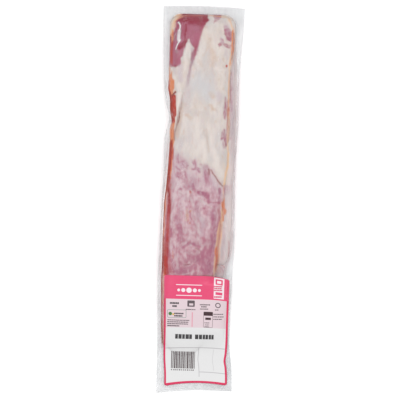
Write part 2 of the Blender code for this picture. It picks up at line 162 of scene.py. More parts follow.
# Marks on the meat: (x, y) or (x, y, share) points, then half width, softness and strength
MARKS = {
    "deep": (
        # The first stroke and the one at (-24.5, 178.6) are painted shade in the creases beside the air
        # pocket's raised fold; the rest is darker lean
        ((-18.6, 185.9), (-19.1, 179.4), (-19.9, 170.9), 0.8, 1.4, 0.8),
        ((-7.2, 162.9), (-10.3, 155.7), (-12.6, 147.3), 0.8, 1.6, 0.4),
        ((-28.8, 158.9), (-27.5, 148.2, 0.8), 3, 5, 0.05),
        ((-18.9, 187), (-19.2, 176.3, 0.9), (-19.9, 165.6, 0.7), 3.6, 5, 0.1),
        ((-25.6, 194.2), (-12.7, 195.2), (2.9, 195), 5.5, 6, 1),
        ((-14.3, 189.7), (1.7, 189.4, 0.7), 4, 6, 0.8), ((-24.5, 178.6), (-24.7, 173.4), 0.8, 1.2, 0.8),
        ((-18.4, 168.4), (-21.6, 165.1), (-25.4, 161.8), 2.4, 2.5, 0.9),
        ((-26.7, 185.7), (-29.2, 181.1), (-30.9, 173.3), (-32.6, 165.4), 1.2, 2.5, 0.5),
        ((-31.3, 141.5), (-28.7, 141.2), 1.2, 1.5, 0.7),
        ((-15.4, -50.1), (-7.1, -46), (-1.2, -49), 1.4, 1.6, 0.75),
        ((4.2, -55), (2.2, -52.8), (-0.5, -51), 0.6, 1, 0.7), ((-13.9, -69.9), (-7.1, -68.3), 0.5, 0.8, 1),
        ((3.8, -62.5), (9.8, -68.8), (13.2, -73.9), 5, 5, 0.5),
        ((-29.6, -75.1), (-17.9, -76.1), (-6.3, -73.2), 2.6, 3, 0.6), ((3.1, 6.2), (7.7, 5), 2.2, 2.5, 0.7),
        ((21.1, 11.9), (22, 4.2), (21.5, -3), 1.6, 2, 0.7),
        ((-2.5, -1.7), (-1.6, -12.1), (0.5, -16.6), 2.2, 2.5, 0.6),
        ((4.8, -9.3), (6.8, -9.1), 0.9, 1.2, 0.7), ((11.4, -13), (15.5, -18.1), (17, -25.8), 2.4, 3, 0.55),
        ((-22.8, -19.2), (-20.6, -26.9), (-18.4, -35.9), 2.4, 2.5, 0.5),
        ((-11.4, 12.9), (-6.2, 13.7), 1.8, 2, 0.6), ((-21, 11.4), (-19.1, 10.8), 1.2, 1.5, 0.6),
        ((9.3, 33.7), (10.2, 30.8), 0.9, 1.2, 0.9), ((7, 27.4), (7.2, 18.4), 0.6, 1, 0.6),
        ((11.4, 32.7), (16.8, 26.4), (20.5, 20.7), (25.2, 15.3), 0.5, 0.9, 0.9),
        ((-13.7, 38.5), (-13.3, 34), 0.8, 1.2, 0.5),
        ((-5.3, 40.7), (-4.2, 34.2), (-0.2, 30.1), 0.8, 1.3, 0.6),
        ((-23.1, 48.6), (-22.3, 43.5), (-17.3, 40.7), 0.9, 1.3, 0.5),
        ((-15.8, 30.7), (-14.3, 24.9), (-15.5, 20.3), 1, 1.6, 0.5),
        ((-23.4, 27.2), (-22.1, 24), 1.6, 2, 0.45), ((-7.5, 15.3), (-6.2, 12.8), 1.6, 2, 0.6),
        ((1.6, 13), (2.9, 12.4), 1, 1.5, 0.5),
    ),
    "veil": (
        ((-7.4, 11.1), (-8.5, 2), (-5.6, -6.4), (-6.6, -16.1), (-1.2, -25), (1, -34.1), 1, 2.4, 0.75),
        ((-0.7, 1.2), (5.9, -2.8), (13.2, -7.1), (17.1, -9), 1, 1.4, 0.8),
        ((-28.7, -14.8), (-26.5, -24.5), (-24.2, -36.1), 0.8, 1.6, 0.6),
        ((-19.7, 9.4), (-18.9, 4.3), 1.4, 2, 0.5), ((-12.5, 7.1), (-11, 0.6), 1.8, 2.5, 0.5),
        ((-1.2, -26.3), (-0.9, -36.7), (0, -43.2), (6, -51.4), 1.2, 2.4, 0.6),
        ((-13.3, -55.2), (-4.1, -58.2), (1, -54.8), 1.6, 3, 0.4),
        ((-21.7, -58.1), (-22.8, -63.3), (-19.3, -71.6), 1.4, 2.6, 0.5),
        ((12, -33.7), (12.5, -40.2), 1.2, 2, 0.5), ((-15.5, -25.5), (-13.9, -34.5), 1.6, 3, 0.4),
        ((-2.3, -75.7), (-8.7, -78.4), (-21.7, -80.8), 0.7, 1.2, 0.6),
        ((8.1, 14.1), (12.7, 9.1), (14.9, 2.7), 1.2, 2, 0.5), ((3.2, -18.4), (4.6, -23.6), 1.2, 2, 0.5),
        ((-6.5, 24.4), (-1.3, 25.2), 1.8, 2.5, 0.7), ((-21.1, 34.4), (-9.2, 28.3), 2, 3, 0.5),
        ((14.2, 26.3), (16.3, 19.9), (18.4, 14.8), 1.6, 2.4, 0.5),
        ((-15.9, 169.8), (-13.1, 164.7), (-10.4, 159.6), 1, 1.6, 0.5),
    ),
    "cream": (
        ((11.4, 192.1, 0.7), (9.6, 179.3), (8, 162.1, 0.7), 4, 7, 0.5),
        ((-15, 162.5), (-14.8, 152.9), 1.8, 3, 0.5),
        ((-5.9, 86.8, 0.8), (-3.9, 74), (-2.5, 61.2, 0.8), 2.6, 4.6, 0.75),
        ((2.3, 63.4, 0.8), (4.8, 50.7), (5.5, 44.3, 0.7), 2.8, 4.6, 0.85),
        ((9.2, 80.8, 0.7), (10.7, 65.8), (13.3, 53), (17.8, 42.5, 0.8), 2.2, 4.4, 0.7),
        ((-3.2, 140.4, 0.8), (-4.5, 148.9), (-0.6, 164), (2.2, 179), 3, 5, 0.7),
        ((11.8, 140.2, 0.8), (18.3, 138.8), (25.8, 138.6, 0.6), 0.7, 1.5, 0.8),
        ((-18.7, 86.4), (-14.7, 75.8), (-12.7, 63), 2.2, 4.4, 0.25),
        ((-24.6, 112.8), (-24.4, 104.4), (-25.1, 96.6), (-26.5, 88.7), (-27.7, 79.6),
            (-28, 74.4), 1.6, 1.2, 1),
        ((-24.9, 122.9), (-23.4, 116.4), (-23.2, 109.9), 2.4, 2.6, 0.7),
        ((-16.4, 165.3), (-17.5, 159.4), (-19.2, 152.2), (-17.7, 145.1), (-18.8, 137.3), 1.4, 2, 0.7),
        ((-29.6, 130.5), (-27.5, 122.8), (-25.4, 118.3), 1.2, 1.8, 0.7),
        ((23.6, 194.9), (27.7, 189.9), (29.8, 184.1), 1.2, 2, 0.7),
        ((-8.1, 80.2), (-5.3, 72.5), (-3.4, 53.1), 5, 7, 0.5),
        ((16.4, 39.4), (23.1, 31.1), (25.2, 26), 3, 4, 0.6),
    ),
    "tan": (
        ((1.1, 176.9, 0.6), (5.6, 169.5), (9.2, 157.8), (7.3, 147.1, 0.6), 2.6, 5, 0.3),
        ((-4.5, 148.9, 0.8), (-1.1, 142.6), 1.6, 3.6, 0.3),
        ((-19.7, 101.3, 0.6), (-21.8, 88.4), (-23.8, 77.7), (-25, 66.9, 0.8), 2, 3.6, 0.5),
        ((7.3, 172.2), (7.5, 170.6), 1.6, 3, 0.6),
        ((8.5, 157.8, 0.8), (11.1, 151.5), (10.7, 142.9, 0.8), 2, 3.6, 0.55),
        ((9.4, 112.9, 0.7), (12.2, 109.7), 2.4, 4, 0.5), ((10.2, 100.1), (12, 95.8), 1.3, 2.4, 0.6),
        ((-15.1, 89.7, 0.8), (-11.3, 87.1), 1.8, 3, 0.5),
        ((6.1, 72.1, 0.8), (7.1, 63.6), (9.4, 55.1, 0.7), 0.8, 1.8, 0.5), ((6.1, 171.7), 1.6, 2.5, 0.55),
        ((9.1, 160.1), (13.2, 151.2), (14, 148), 1.6, 2.6, 0.5), ((8.9, 142.6), 1.4, 2.6, 0.4),
        ((-9.6, 131.1), 1.6, 2.5, 0.35), ((8.2, 100.7), (10.2, 98.9), (12.5, 95.7), 1.2, 1.8, 0.5),
        ((-16.2, 89.7), (-13.6, 89.7), 1.6, 2.6, 0.45), ((-9.6, 87.3), (-10.9, 85.9), 1.4, 2.2, 0.4),
        ((6.4, 75.4), (6.4, 67.6), (7.2, 60.5), 0.4, 1, 0.5),
        ((-9, 71.7), (-8.5, 60.7), (-4.1, 54.3), 0.35, 1, 0.4), ((8.8, 54.7), (9.9, 51.5), 0.8, 1.4, 0.4),
        ((17.7, 62.1), (15.9, 57.5), 0.5, 1.2, 0.35), ((-8.2, -11.6), 0.9, 1, 0.8),
        ((-10.6, -14.3), (-11.5, -16.3), 1, 1.4, 0.6), ((-9.1, -24.6), 0.8, 1, 0.7),
        ((-12, -9.8), (-13, -21.5), 1.2, 1.8, 0.4),
        ((9.3, 197.4), (17.1, 197.3), (23.6, 195.9), 0.5, 0.9, 0.8),
    ),
    "lilac": (
        ((-10.6, 25.6, 0.8), (-4, 19.4), (0.5, 12, 0.6), 3.2, 5, 0.5),
        ((-12.1, 80.1, 0.8), (-11.7, 65.2), 4, 8, 0.3),
        ((6.4, 30.4, 0.7), (13, 23.1), (17.6, 13.6, 0.8), 3.2, 5, 0.65),
        ((-11.8, 29.8, 0.8), (-4.1, 23.6), (-8.2, 16, 0.8), 2.6, 4.4, 0.5),
        ((0.2, -15.8, 0.8), (5.8, -24.2), (4, -35, 0.8), 2.6, 4.4, 0.5),
        ((-21.9, 46.7), (-13.2, 41.6), (-4.4, 35.4), 5, 8, 0.35),
        ((31.5, 145.6, 0.8), (32, 128.5), (31.9, 111.4), (32.4, 94.3, 0.9), (33, 75), 2.4, 3, 0.4),
        ((-14.3, 137.9, 0.8), (-15.5, 122.9), (-15.6, 107.9), (-16.3, 92.9, 0.7), 3.2, 6, 0.35),
        ((23.8, 190.4), (25.7, 180), 3, 6, 0.3), ((18, 112.1), (18.7, 106.7), 2.6, 5, 0.7),
        ((-24.8, 34.8, 0.6), (-17.4, 38.3), (-7.7, 37.5), (2, 33.5), (12.8, 31.6, 0.7), 4.5, 7, 0.5),
        ((-25.4, 19.8, 0.8), (-10.2, 13.8, 0.4), (3.5, 20.7, 0.8), (14.3, 16.7, 0.9), 3, 7, 0.4),
        ((-24.1, 140.4), (-23.9, 135.2), (-22.4, 127.5), 2.6, 3.4, 0.7),
        ((-29.2, 138.3), (-27.8, 134.4), 2.2, 3, 0.4), ((23.9, 187.2), (25.3, 181.4), 2, 3, 0.6),
        ((18.5, 172.1), (19.8, 169.5), 1.8, 2.4, 0.5), ((24, 159.3), (26.2, 150.3), 1.4, 2, 0.4),
        ((-26.5, 65.4), (-19.9, 61.7), (-21.6, 52.6), 2.6, 4, 0.35),
    ),
    "smoke": (
        ((-11.7, 146.5), (-12.8, 140.1, 0.95), (-13.7, 133.6, 0.85), (-14.8, 127.2, 0.55),
            (-16.3, 120.7, 0.2), 1.5, 2.4, 0.8),
        ((32.6, 124.2, 0.5), (33.2, 102.9), (33.6, 75), (33.5, 47.2, 0.5), 2, 3.4, 0.34),
        ((27.4, -30, 0.6), (28, -49.3), (27.2, -60, 0.6), 1.6, 3.4, 0.3),
        ((-12, 163.6, 0.2), (-11.1, 157.2, 0.7), (-11.2, 150.8), (-11.6, 144.4), 2, 2.8, 0.75),
    ),
    "cool": (
        ((-5, 125), (8, 112), 9, 14, 0.9),
    ),
    "orange": (
        ((28.9, 134.8, 0.6), (28.7, 117.7), (28.5, 96.3, 0.8), (28.3, 81.3),
            (28.2, 62, 0.8), 0.45, 1.1, 0.5),
        ((29.9, 167, 0.6), (30.1, 154.1), (28.6, 143.4, 0.8), 0.5, 1.2, 0.6),
        ((21.5, -55.9, 0.7), (21.3, -62.3), (20.6, -77.3, 0.6), 1, 1.6, 0.7),
        ((-34.7, 8.9, 0.6), (-35.5, -1.9), (-36, -14.7), (-36.2, -27.6), (-36.5, -40.4, 0.9),
            (-35.6, -49, 0.5), (-34.9, -60.7, 0.6), (-34.6, -72.5, 0.8),
            (-35.3, -82.2, 0.9), 0.8, 1.4, 0.85),
        ((-35.4, 141.6), (-34.5, 135.2), 1.1, 1.5, 0.7), ((-34.3, 135.2), (-33.4, 127.7), 1.7, 1.6, 1),
        ((-32.5, 126.1), (-32.2, 119.2), 2.8, 1.5, 1), ((-33.4, 118.1), (-32.6, 112.7), 2.4, 1.5, 0.9),
        ((-30.2, 83.4), (-30.7, 76.4), (-30.3, 70), (-29.9, 64.7), (-30.8, 60.3), 2.4, 1.3, 1),
        ((-29.8, 61.4), (-29.5, 51.8), (-30.3, 41.1), (-30.6, 28.8), (-31.5, 21.8), 1, 1.1, 0.95),
        ((-34.4, -61.8), (-34.2, -72.5), (-34.1, -81), 1.6, 1.5, 0.75),
        ((25.8, -2.3), (26.3, -5.5), (27.9, -8.6), 2.1, 1.7, 1),
        ((26.1, -10.8), (26.1, -17.2), 1.1, 1.3, 0.9), ((20.4, -53.3), (20.3, -59.1), 1.7, 1.5, 1),
        ((31, 179.9), (31.5, 171.3), (31.5, 163.8), (30.9, 158.5), 1.1, 1.1, 1),
        ((-33.2, 179.1), (-33.1, 169.5), 1.2, 1.3, 0.9),
        ((-23, 196), (-27.2, 193.2), (-30.3, 189.9), (-31.2, 183.4), 0.7, 1.5, 0.5),
        ((-26.2, 197.1), (-15.5, 197.9), (0.5, 198.2), (17.7, 197.3), 0.6, 1.3, 0.7),
        ((-26, -55.1), (-25.7, -61.5), 0.5, 1.1, 0.6), ((-12, -15.1), (-10.3, -21.5), 1, 2.1, 0.3),
        ((-36, -82.2), (-35.4, -108.9), 0.6, 1.1, 0.5),
    ),
    "red": (
        ((-31.3, 62.5, 0.8), (-32, 47.5), (-32.7, 32.5), (-33.6, 17.5), 2.2, 1.6, 1),
        ((-33.6, -44.6, 0.6), (-33.6, -61.8), (-33.1, -78.9, 0.9), 2.4, 3, 0.95),
        ((-31.3, 15.4, 0.4), (-31.6, -1.8, 0.7), (-32.2, -18.9, 0.9), (-32.5, -40.3), (-32.7, -61.7),
            (-32.4, -78.9, 0.8), 1.6, 2.6, 0.62),
        ((-30.9, 109, 0.9), (-30.6, 103.1), (-30.2, 95.7), (-29.8, 90.3), 3.3, 1.6, 1),
        ((-34.9, -42.5, 0.5), (-34.7, -52.2, 0.9), (-34.6, -62.9, 0.7), (-34.7, -74.6, 0.5), 1.2, 1.6, 0.8),
        ((-35.2, 126.1), (-35.3, 119.1), (-35.3, 115.9), (-34, 110.6), 1.1, 1.1, 0.9),
        ((-30.1, 90.3), (-29.4, 83.4), 1.6, 1.1, 1), ((-33.6, 17.5), (-33.5, 8.9), 1.4, 1.3, 0.9),
        ((-33.7, 168.4), (-33.7, 158.7), (-33.5, 145.9), 1.4, 1.5, 0.85),
        ((25.5, 142.8), (25.7, 142.2), 1, 1.3, 0.9), ((-9.1, 8.5), (-9, 7.4), 0.9, 1.3, 0.7),
        ((-8.5, -11.4), (-9.1, -12.2), 0.6, 1.1, 0.6), ((-8.9, -24.1), (-8.5, -24.6), 0.7, 1.3, 0.6),
        ((-26.2, 196.2), (-15.5, 196.8), (-1.6, 197.1), 0.6, 1.7, 0.5),
        ((20.7, -61.3), (20.2, -67.7), (19.8, -73.1), 0.4, 0.9, 0.6),
    ),
    "blood": (
        ((-33.5, 108.4, 0.7), (-32.8, 98.8), (-31.7, 89.2, 0.8), 1.6, 2.4, 0.8),
        ((-32.3, 58.2, 0.8), (-32.9, 41), (-33.6, 21.7), 1, 1, 0.4),
        ((-32.5, 6.8, 0.6), (-30.4, -8.1), (-29.7, -25.3, 0.8), 0.6, 1.2, 0.6),
        ((-33.8, 108.4), (-33.2, 98.8), (-32.1, 90.3), 0.9, 1.4, 0.7),
        ((-31, 63.6, 0.8), (-31.8, 49.6), (-32.6, 34.6), (-33.4, 19.6), (-34, 6.7, 0.7), 1.2, 1.4, 0.7),
        ((-33.1, 13.2, 0.5), (-32.6, 6.8), (-32, -3.9, 0.8), (-32.6, -14.6, 0.7), 0.7, 1.4, 0.55),
        ((-36.8, -44.7, 0.7), (-36.5, -57.6), (-35.8, -68.2), (-36.6, -77.9), 0.8, 1.1, 0.75),
        ((-33.8, 111.3), (-31.7, 111.7), (-28.2, 113.9), 1.1, 0.9, 1),
        ((-33.3, 108.4), (-33.2, 102), (-32.6, 95.6), (-31.7, 90.3), (-30.4, 85), 1, 1.3, 0.85),
        ((-34.8, 16.3), (-35.6, 8.8), (-36.3, 0.2), 0.6, 0.9, 0.9),
        ((-32.4, 11.1), (-31.6, 5.7), (-30.9, -0.1), 0.6, 0.9, 0.9),
        ((-36.7, -8.3), (-36.8, -16.9), (-36.9, -24.4), 0.5, 0.7, 0.9),
        ((-36.6, -41.5), (-36.4, -51.1), (-36.8, -59.7), (-37.1, -68.3), (-37.7, -79), 0.6, 0.9, 0.9),
        ((-34.9, 177.4), (-34.8, 170), 0.5, 0.7, 0.9),
        ((-36.9, -83.3), (-36.1, -108.9), (-34.5, -157.1), 0.4, 0.7, 0.5),
        ((27.2, 60.3), (27.4, 58.8), 0.6, 1.1, 0.4),
    ),
    "rose": (
        ((27.6, 108, 0.6), (27.7, 94.1), (27.6, 81.3), (27.4, 68.4, 0.7), 0.5, 1.2, 0.4),
        ((33.5, -41.6, 0.5), (33.4, -53.4), (32.9, -64.1), (29, -67.5, 0.8),
            (22.6, -68.2, 0.7), 0.5, 1.5, 0.45),
        ((-31.3, 21.8, 0.3), (-31.8, 11.1, 0.6), (-31.6, -3.9), (-31.9, -14.6), (-32, -25.3, 0.7),
            (-32.2, -36, 0.85), (-32.3, -46.7), (-32.4, -57.4), (-32.3, -68.1),
            (-30.5, -77.7, 0.9), 2.3, 3.2, 0.85),
        ((-29.4, -57.4, 0.7), (-29.5, -68.1, 0.8), (-26.4, -77.6), 1.8, 3, 0.55),
        ((21.3, -3.5, 0.7), (21.7, -10.9), (23.6, -25.9, 0.8), (22, -43, 0.8), (21.2, -60.2),
            (21.1, -73, 0.6), 1.7, 2.2, 0.42),
        ((33.1, -42.7, 0.5), (33.8, -51.3, 0.8), (33.8, -59.8), (33, -65.2), (30.1, -67.4), (25.3, -67.6),
            (21, -68.2, 0.8), 0.6, 1.8, 0.85),
        ((-28.9, 55.1), (-28.6, 43.3), 0.6, 0.9, 0.8), ((-28.7, 43.3), (-26.7, 28.4), 0.4, 1.1, 0.4),
        ((26.7, 13.8), (26.6, 8.5), 0.6, 1.1, 0.4), ((29, 102.7), (29.4, 98.5), 0.7, 1.1, 0.5),
        ((28.6, 96.3), (28.9, 93.1), 0.6, 1.1, 0.4),
    ),
    "peach": (
        ((25.3, -17.3, 0.7), (24.5, -34.4), (23.4, -53.7), (21.6, -75.2, 0.8), 1.2, 1.8, 0.8),
        ((30.4, 158.4), (29.5, 152), (28.9, 143.4), (28.5, 137), (28.6, 124.1), (28.9, 111.3),
            (28.9, 103.8), (28.9, 96.3), (29.6, 85.6), (29.9, 78.1), (29.3, 70.6), (29.1, 62.1),
            (29.4, 51.4), (29.8, 45), 0.9, 1.1, 0.75),
        ((29.9, 47.1), (29.6, 36.4), (28, 28.5), (27.2, 21.3), (26.9, 14.9), 1.2, 1.1, 0.95),
        ((26.5, 13.8), (25.9, 7.4), (25.7, 0.9), 0.5, 1, 0.7),
        ((25.5, -9.8), (25.4, -16.2), (23.3, -24.8), (22.1, -32.3), (21.3, -42),
            (20.5, -51.6), 1.6, 1.3, 1),
        ((19.2, -61.3), (19.2, -68.8), (18.8, -79.5), 1.2, 1.3, 0.8),
        ((-30.6, 116), (-27.3, 114.5), 0.7, 1.1, 0.6), ((-29.9, 54), (-29.8, 34.7), 0.5, 0.9, 0.6),
        ((-24, 196.9), (-27.7, 194.7), (-31.8, 190.9), (-33.7, 185.5), (-34.7, 179.1), 1.7, 2.6, 0.8),
        ((18.8, 197.1), (23.1, 196.8), (26.3, 194.7), (28.6, 191), (30.5, 185.2), (31, 180.9), 1, 1.7, 0.8),
        ((-35.8, -82.2), (-35.2, -108.9), (-33.7, -162.4), 0.5, 1, 0.8),
        ((21.3, -76.8), (26.1, -76.6), 0.4, 0.9, 0.4), ((21.3, -79), (26.1, -78.9), 0.4, 0.9, 0.4),
    ),
    # Brown lines along the creases, and one painted shadow under the label's top edge
    "brown": (
        ((24.6, -24.8), (23.4, -32.3), (22.6, -43), 0.5, 1.1, 0.2),
        ((27.5, 100.6, 0.5), (28.1, 93.1, 0.8), (29.3, 84.5), (30.4, 77.1), (30.5, 70.7), (28.5, 65.3, 0.9),
            (26.6, 58.8, 0.7), 1.5, 2, 0.25),
        ((29.9, 130.6, 0.8), (30.5, 119.9), (30.5, 109.2), (30.3, 102.8, 0.6), 0.7, 1.4, 0.3),
        ((-21.4, 103.4, 0.5), (-23.4, 92.7), (-25.3, 83), (-27.1, 73.3), (-27.8, 64.7, 0.6), 1.3, 2.4, 0.5),
        ((-20.7, 111.4), (-21.4, 103.4), (-21.4, 97), (-22.6, 90.6), 0.5, 1, 0.45),
        ((-22.7, 91.6), (-23.8, 84.1), (-24.6, 80.9), 0.6, 0.9, 0.95),
        ((-24.6, 80.9), (-26, 76.5), (-27.2, 70.1), (-27.9, 64.7), 0.5, 0.9, 0.75),
        ((30, 138.1), (30.3, 130.6), (30.8, 124.2), (30.8, 119.9), 0.5, 1, 0.55),
        ((30.7, 115.6), (30.9, 110.3), 0.5, 1, 0.4), ((29.6, 79.2), (30.2, 76), 0.6, 1.1, 0.5),
        ((30.2, 67.4), (29.9, 63.2), 0.6, 1.1, 0.5),
        ((32.6, 176.7), (32.5, 167.1), (31.5, 158.5), (30.9, 153.1), 0.5, 1, 0.8),
        ((11.9, 32.9), (14.5, 29.2), (17.3, 25), (21.4, 19.6), (25.6, 14.9), 0.7, 1, 0.75),
        ((9.3, 33.3), (9.9, 28.3), 1.1, 1.3, 0.6),
        # Painted shadow: a dark line under the label's lifted top edge
        ((-23.6, -81.3), (-7.5, -81.9), (18.7, -80.6), 0.9, 1.5, 0.8),
        ((-13.8, -69.1), (-7.9, -68.5), 0.5, 1, 0.7),
        ((-1.9, -51.8), (1.3, -52.7), (3.3, -54.6), 0.5, 1, 0.6),
    ),
    "mauve": (
        ((28.6, 110.2, 0.8), (28.2, 102.7), (29, 94.2, 0.8), 1.5, 2.2, 0.6),
        ((25.4, 75.9, 0.9), (23.9, 71.5), (22.5, 67.2, 0.8), 1.1, 1.8, 0.7),
        ((24.2, 73.7, 0.9), (27.1, 69.5), (26.1, 62, 0.8), 1, 1.8, 0.7),
        ((31.7, 132.8, 0.8), (32.5, 122.1, 0.8), 0.9, 2, 0.4),
        ((23.4, 185), (26.3, 177.6), (25.9, 172.2, 0.8), 2.2, 3, 0.35),
        ((-23.4, 43.4), (-22.8, 39.7), 0.7, 1.6, 0.7),
        ((-18.4, 38.2), (-15.7, 34.6), (-12, 36.3), 0.6, 1.6, 0.7),
        ((-25.3, 34.8), (-20.9, 31.2), 0.8, 1.8, 0.6),
        ((-7.8, 40.1), (-5, 35.4), (-0.1, 33.4), 0.6, 1.4, 0.7),
        ((-1, 9.8), (6, 6.8), (12.4, 8.1), 1.6, 3, 0.5), ((-16.7, 13.7), (-9.1, 9.6), 1, 2.4, 0.45),
        ((-24.5, 24.1), (-18, 22.2), 0.9, 2, 0.55),
        ((4.8, -24.3, 0.6), (8.4, -39.2), (7.8, -56.3), 3.4, 5, 0.12),
        ((-20.5, -1.4, 0.6), (-18.6, -29.2), (-16.1, -44.1, 0.6), 2.2, 4, 0.35),
        ((-24, 45.6, 0.7), (-18.5, 39.3), (-13, 35.2, 0.8), 3.2, 5, 0.2),
        ((15.6, -0.4, 0.5), (16.6, -13.2), (16.5, -30.4), (16.3, -47.5), (14.4, -62.5),
            (11.6, -75.5), 2.9, 4, 0.62),
        ((9.4, -55.2, 0.7), (10.8, -66.9), (9.5, -76.6), 4, 6, 0.6),
        ((6.3, 35.7, 0.8), (7.6, 27.2), (9.4, 18.7, 0.8), 3.4, 5.5, 0.5),
        ((15, 12.4, 0.6), (15.7, 3.9), 3, 5, 0.5),
        ((28.4, 10.7, 0.9), (31.1, 7.5, 0.8), (34.3, 10.8, 0.3), 2.2, 4, 0.42),
        ((24.4, 98.3, 0.8), (24.7, 93), (25.1, 87.6, 0.7), 1.1, 1.8, 0.7),
        ((25, 61.9, 0.8), (25.5, 57.7), 1.6, 2.4, 0.55),
        ((27.6, -73.9), (24.4, -75.1), (21.3, -78.4), 3.6, 3, 0.38),
        ((21.3, -23.8, 0.8), (20, -34.5), (19, -43.1), (16.9, -56), (15.1, -66.8), 1.3, 2.6, 0.55),
        ((30.8, 132.8, 0.8), (30.8, 119.9), (31, 107.1, 0.7), (30.5, 94.2, 0.4), (30.6, 81.4, 0.8),
            (30.6, 68.5, 0.9), 0.8, 1.8, 0.42),
        ((31.8, 125.3), (31.9, 121), 1.1, 2, 0.56),
        ((25.9, 110.1), (25.5, 103.7), (25.3, 96.2), (25.6, 91.9), 1, 1.8, 0.72),
        ((31.6, 110.3), (31.9, 103.9), (32.1, 98.5), 0.7, 2, 0.48),
        ((22.7, 72), (25.6, 70.8), (27.7, 72.7), 0.7, 1.8, 0.64),
        ((21.8, 65.1), (26.2, 68.4), 1.1, 1.8, 0.72), ((25.5, 65.7), (27.2, 59), 0.9, 1.8, 0.72),
        ((24.6, 69.4), (26.3, 65.2), 1.3, 1.8, 0.64), ((31.8, 71.2), (32.3, 68.6), 0.7, 1.8, 0.48),
        ((25.6, 2.6), (25.9, 1), 0.9, 2, 0.56), ((-23.2, 48.3), (-23.1, 42.9), 0.9, 2.2, 0.48),
        ((-20.6, 40.3), (-17.7, 40.9), 1, 2.4, 0.48), ((-13.9, 38.9), (-13.4, 33.5), 0.9, 2.2, 0.48),
        ((-5.3, 41.8), (-4.6, 34.3), 1, 2.1, 0.72), ((-8.1, 32.3), (-2.8, 32.9), (0, 29.7), 1, 2.2, 0.72),
        ((0.8, 38.2), (2.6, 37.3), 1, 2.2, 0.4), ((6.3, 33.6), (5.2, 28.2), 1.1, 2.2, 0.48),
        ((7.1, 24), (6.8, 16.5), 1.1, 2.2, 0.56),
        ((-24.5, 26.3), (-20.3, 28), (-18.6, 24.3), 1.7, 3.1, 0.48),
        ((-15.2, 29.8), (-14.3, 23.9), 0.9, 2.4, 0.48), ((-13.6, 19.1), (-11.5, 11.7), 1.3, 2.6, 0.56),
        ((-6.7, 16.1), (-6.3, 10.7), 1.3, 2.4, 0.64), ((-20.2, 11.8), (-19.2, 11), 1, 2.2, 0.72),
        ((-0.4, 7.7), (6.5, 7.4), (8.8, 3.7), 2.4, 3.3, 0.8), ((9.8, 6.9), (11.1, -2.7), 1.7, 3.1, 0.72),
        ((21.4, 13.1), (22, 8.3), 1.3, 2.4, 0.64), ((11.6, -2.2), (21.8, -2.4), 1.1, 2.2, 0.72),
    ),
}

# Folds and air pockets in the film: (x, y) points, then half width, softness, milkiness and height
# Their milkiness is partly a painted highlight: white streaks where the raised film catches the light.
AIR_POCKETS_AND_HIGHLIGHTS = (
    ((-27.1, 188.4), (-25.9, 187.4), (-25, 185.2), (-25.1, 182), (-26.2, 179.6), 0.75, 1.1, 0.95, 0.6),
    ((-25.7, 179.4), (-26.2, 175.2), (-26.4, 171.4), (-26, 168.9), 1.9, 1.8, 0.75, 0.6),
    ((-29.4, 177.4), (-31, 172.8), (-31.2, 169.4), 0.45, 1.2, 0.45, 0.5),
    ((-24.2, 169.8), (-26, 167.2), (-27.4, 164.9), (-28.6, 161.4), (-29, 159.8), 0.55, 1.1, 0.95, 0.5),
    ((-28.6, 157.8), (-27.8, 156.6), 0.9, 2.2, 0.32, 0.3), ((26, -49), (26.4, -58), 1, 1.8, 0.3, 0.4),
    ((33.6, -42), (33.6, -60), (31.8, -67), (23, -69), 0.4, 1.2, 0.05, 0.15),
    ((-36, 92), (-30, 90), (-22, 92), 0.4, 1.6, 0.1, 0.5),
    ((-35, 84), (-30, 76), (-27, 66), 0.4, 1.6, 0.1, 0.5),
    ((-30, 112), (-24, 116), (-18, 117), 0.4, 1.6, 0.1, 0.5), ((12, 197), (10, 204), 0.4, 1.2, 0.1, 0.4),
    ((-20, 198), (-24, 206), 0.4, 1.2, 0.1, 0.4),
)

# Juice beads lying where the films part: x, y and the bead's half width at each point
JUICE_BEADS = {
    "left": (
        (-35.4, 128, 0.25), (-34.6, 116, 0.5), (-33, 106, 0.7), (-31.6, 94, 0.5), (-31, 80, 0.3),
        (-31.4, 66, 0.5), (-31.5, 59.8, 0.8), (-31.8, 49.1, 0.9), (-32.1, 38.4, 0.9), (-32.9, 27.6, 0.9),
        (-33.9, 16.9, 0.8), (-35.3, 6.2, 0.6), (-36.6, -4.6, 0.5), (-36.8, -15.3, 0.4), (-36.8, -26, 0.4),
        (-37.1, -36.7, 0.4), (-36.9, -47.4, 0.6), (-36.6, -58.1, 0.7), (-36.4, -68.8, 0.7),
        (-36.9, -77.4, 0.7), (-36.6, -110, 0.5), (-35.8, -140, 0.4), (-34.8, -160, 0.3),
    ),
    "right": (
        (30.6, 188, 0.25), (33, 176, 0.45), (32.3, 158, 0.4), (29.8, 134, 0.3), (29.4, 110, 0.35),
        (30.2, 84, 0.3), (30.2, 60, 0.35), (29.3, 30, 0.5), (27.4, 4, 0.55), (27.2, -6, 0.8),
        (26, -16, 0.5), (24.3, -30, 0.55), (22.2, -46, 0.5), (21.2, -57, 0.8), (19.6, -70, 0.4),
    ),
}

# The label, in millimetres across and down from its upper left corner
LABEL_FLAT = (68.2, 119.0)
LABEL_CORNER = (-34.2, -81.3)  # where that corner lies, x and y
PRINT_BLUR = 0.08
DISCS = ((15.4, 1.5), (20.2, 2.1), (26.2, 2.8), (32.2, 2.1), (37.0, 1.5))
DISC_LINE = 15.6

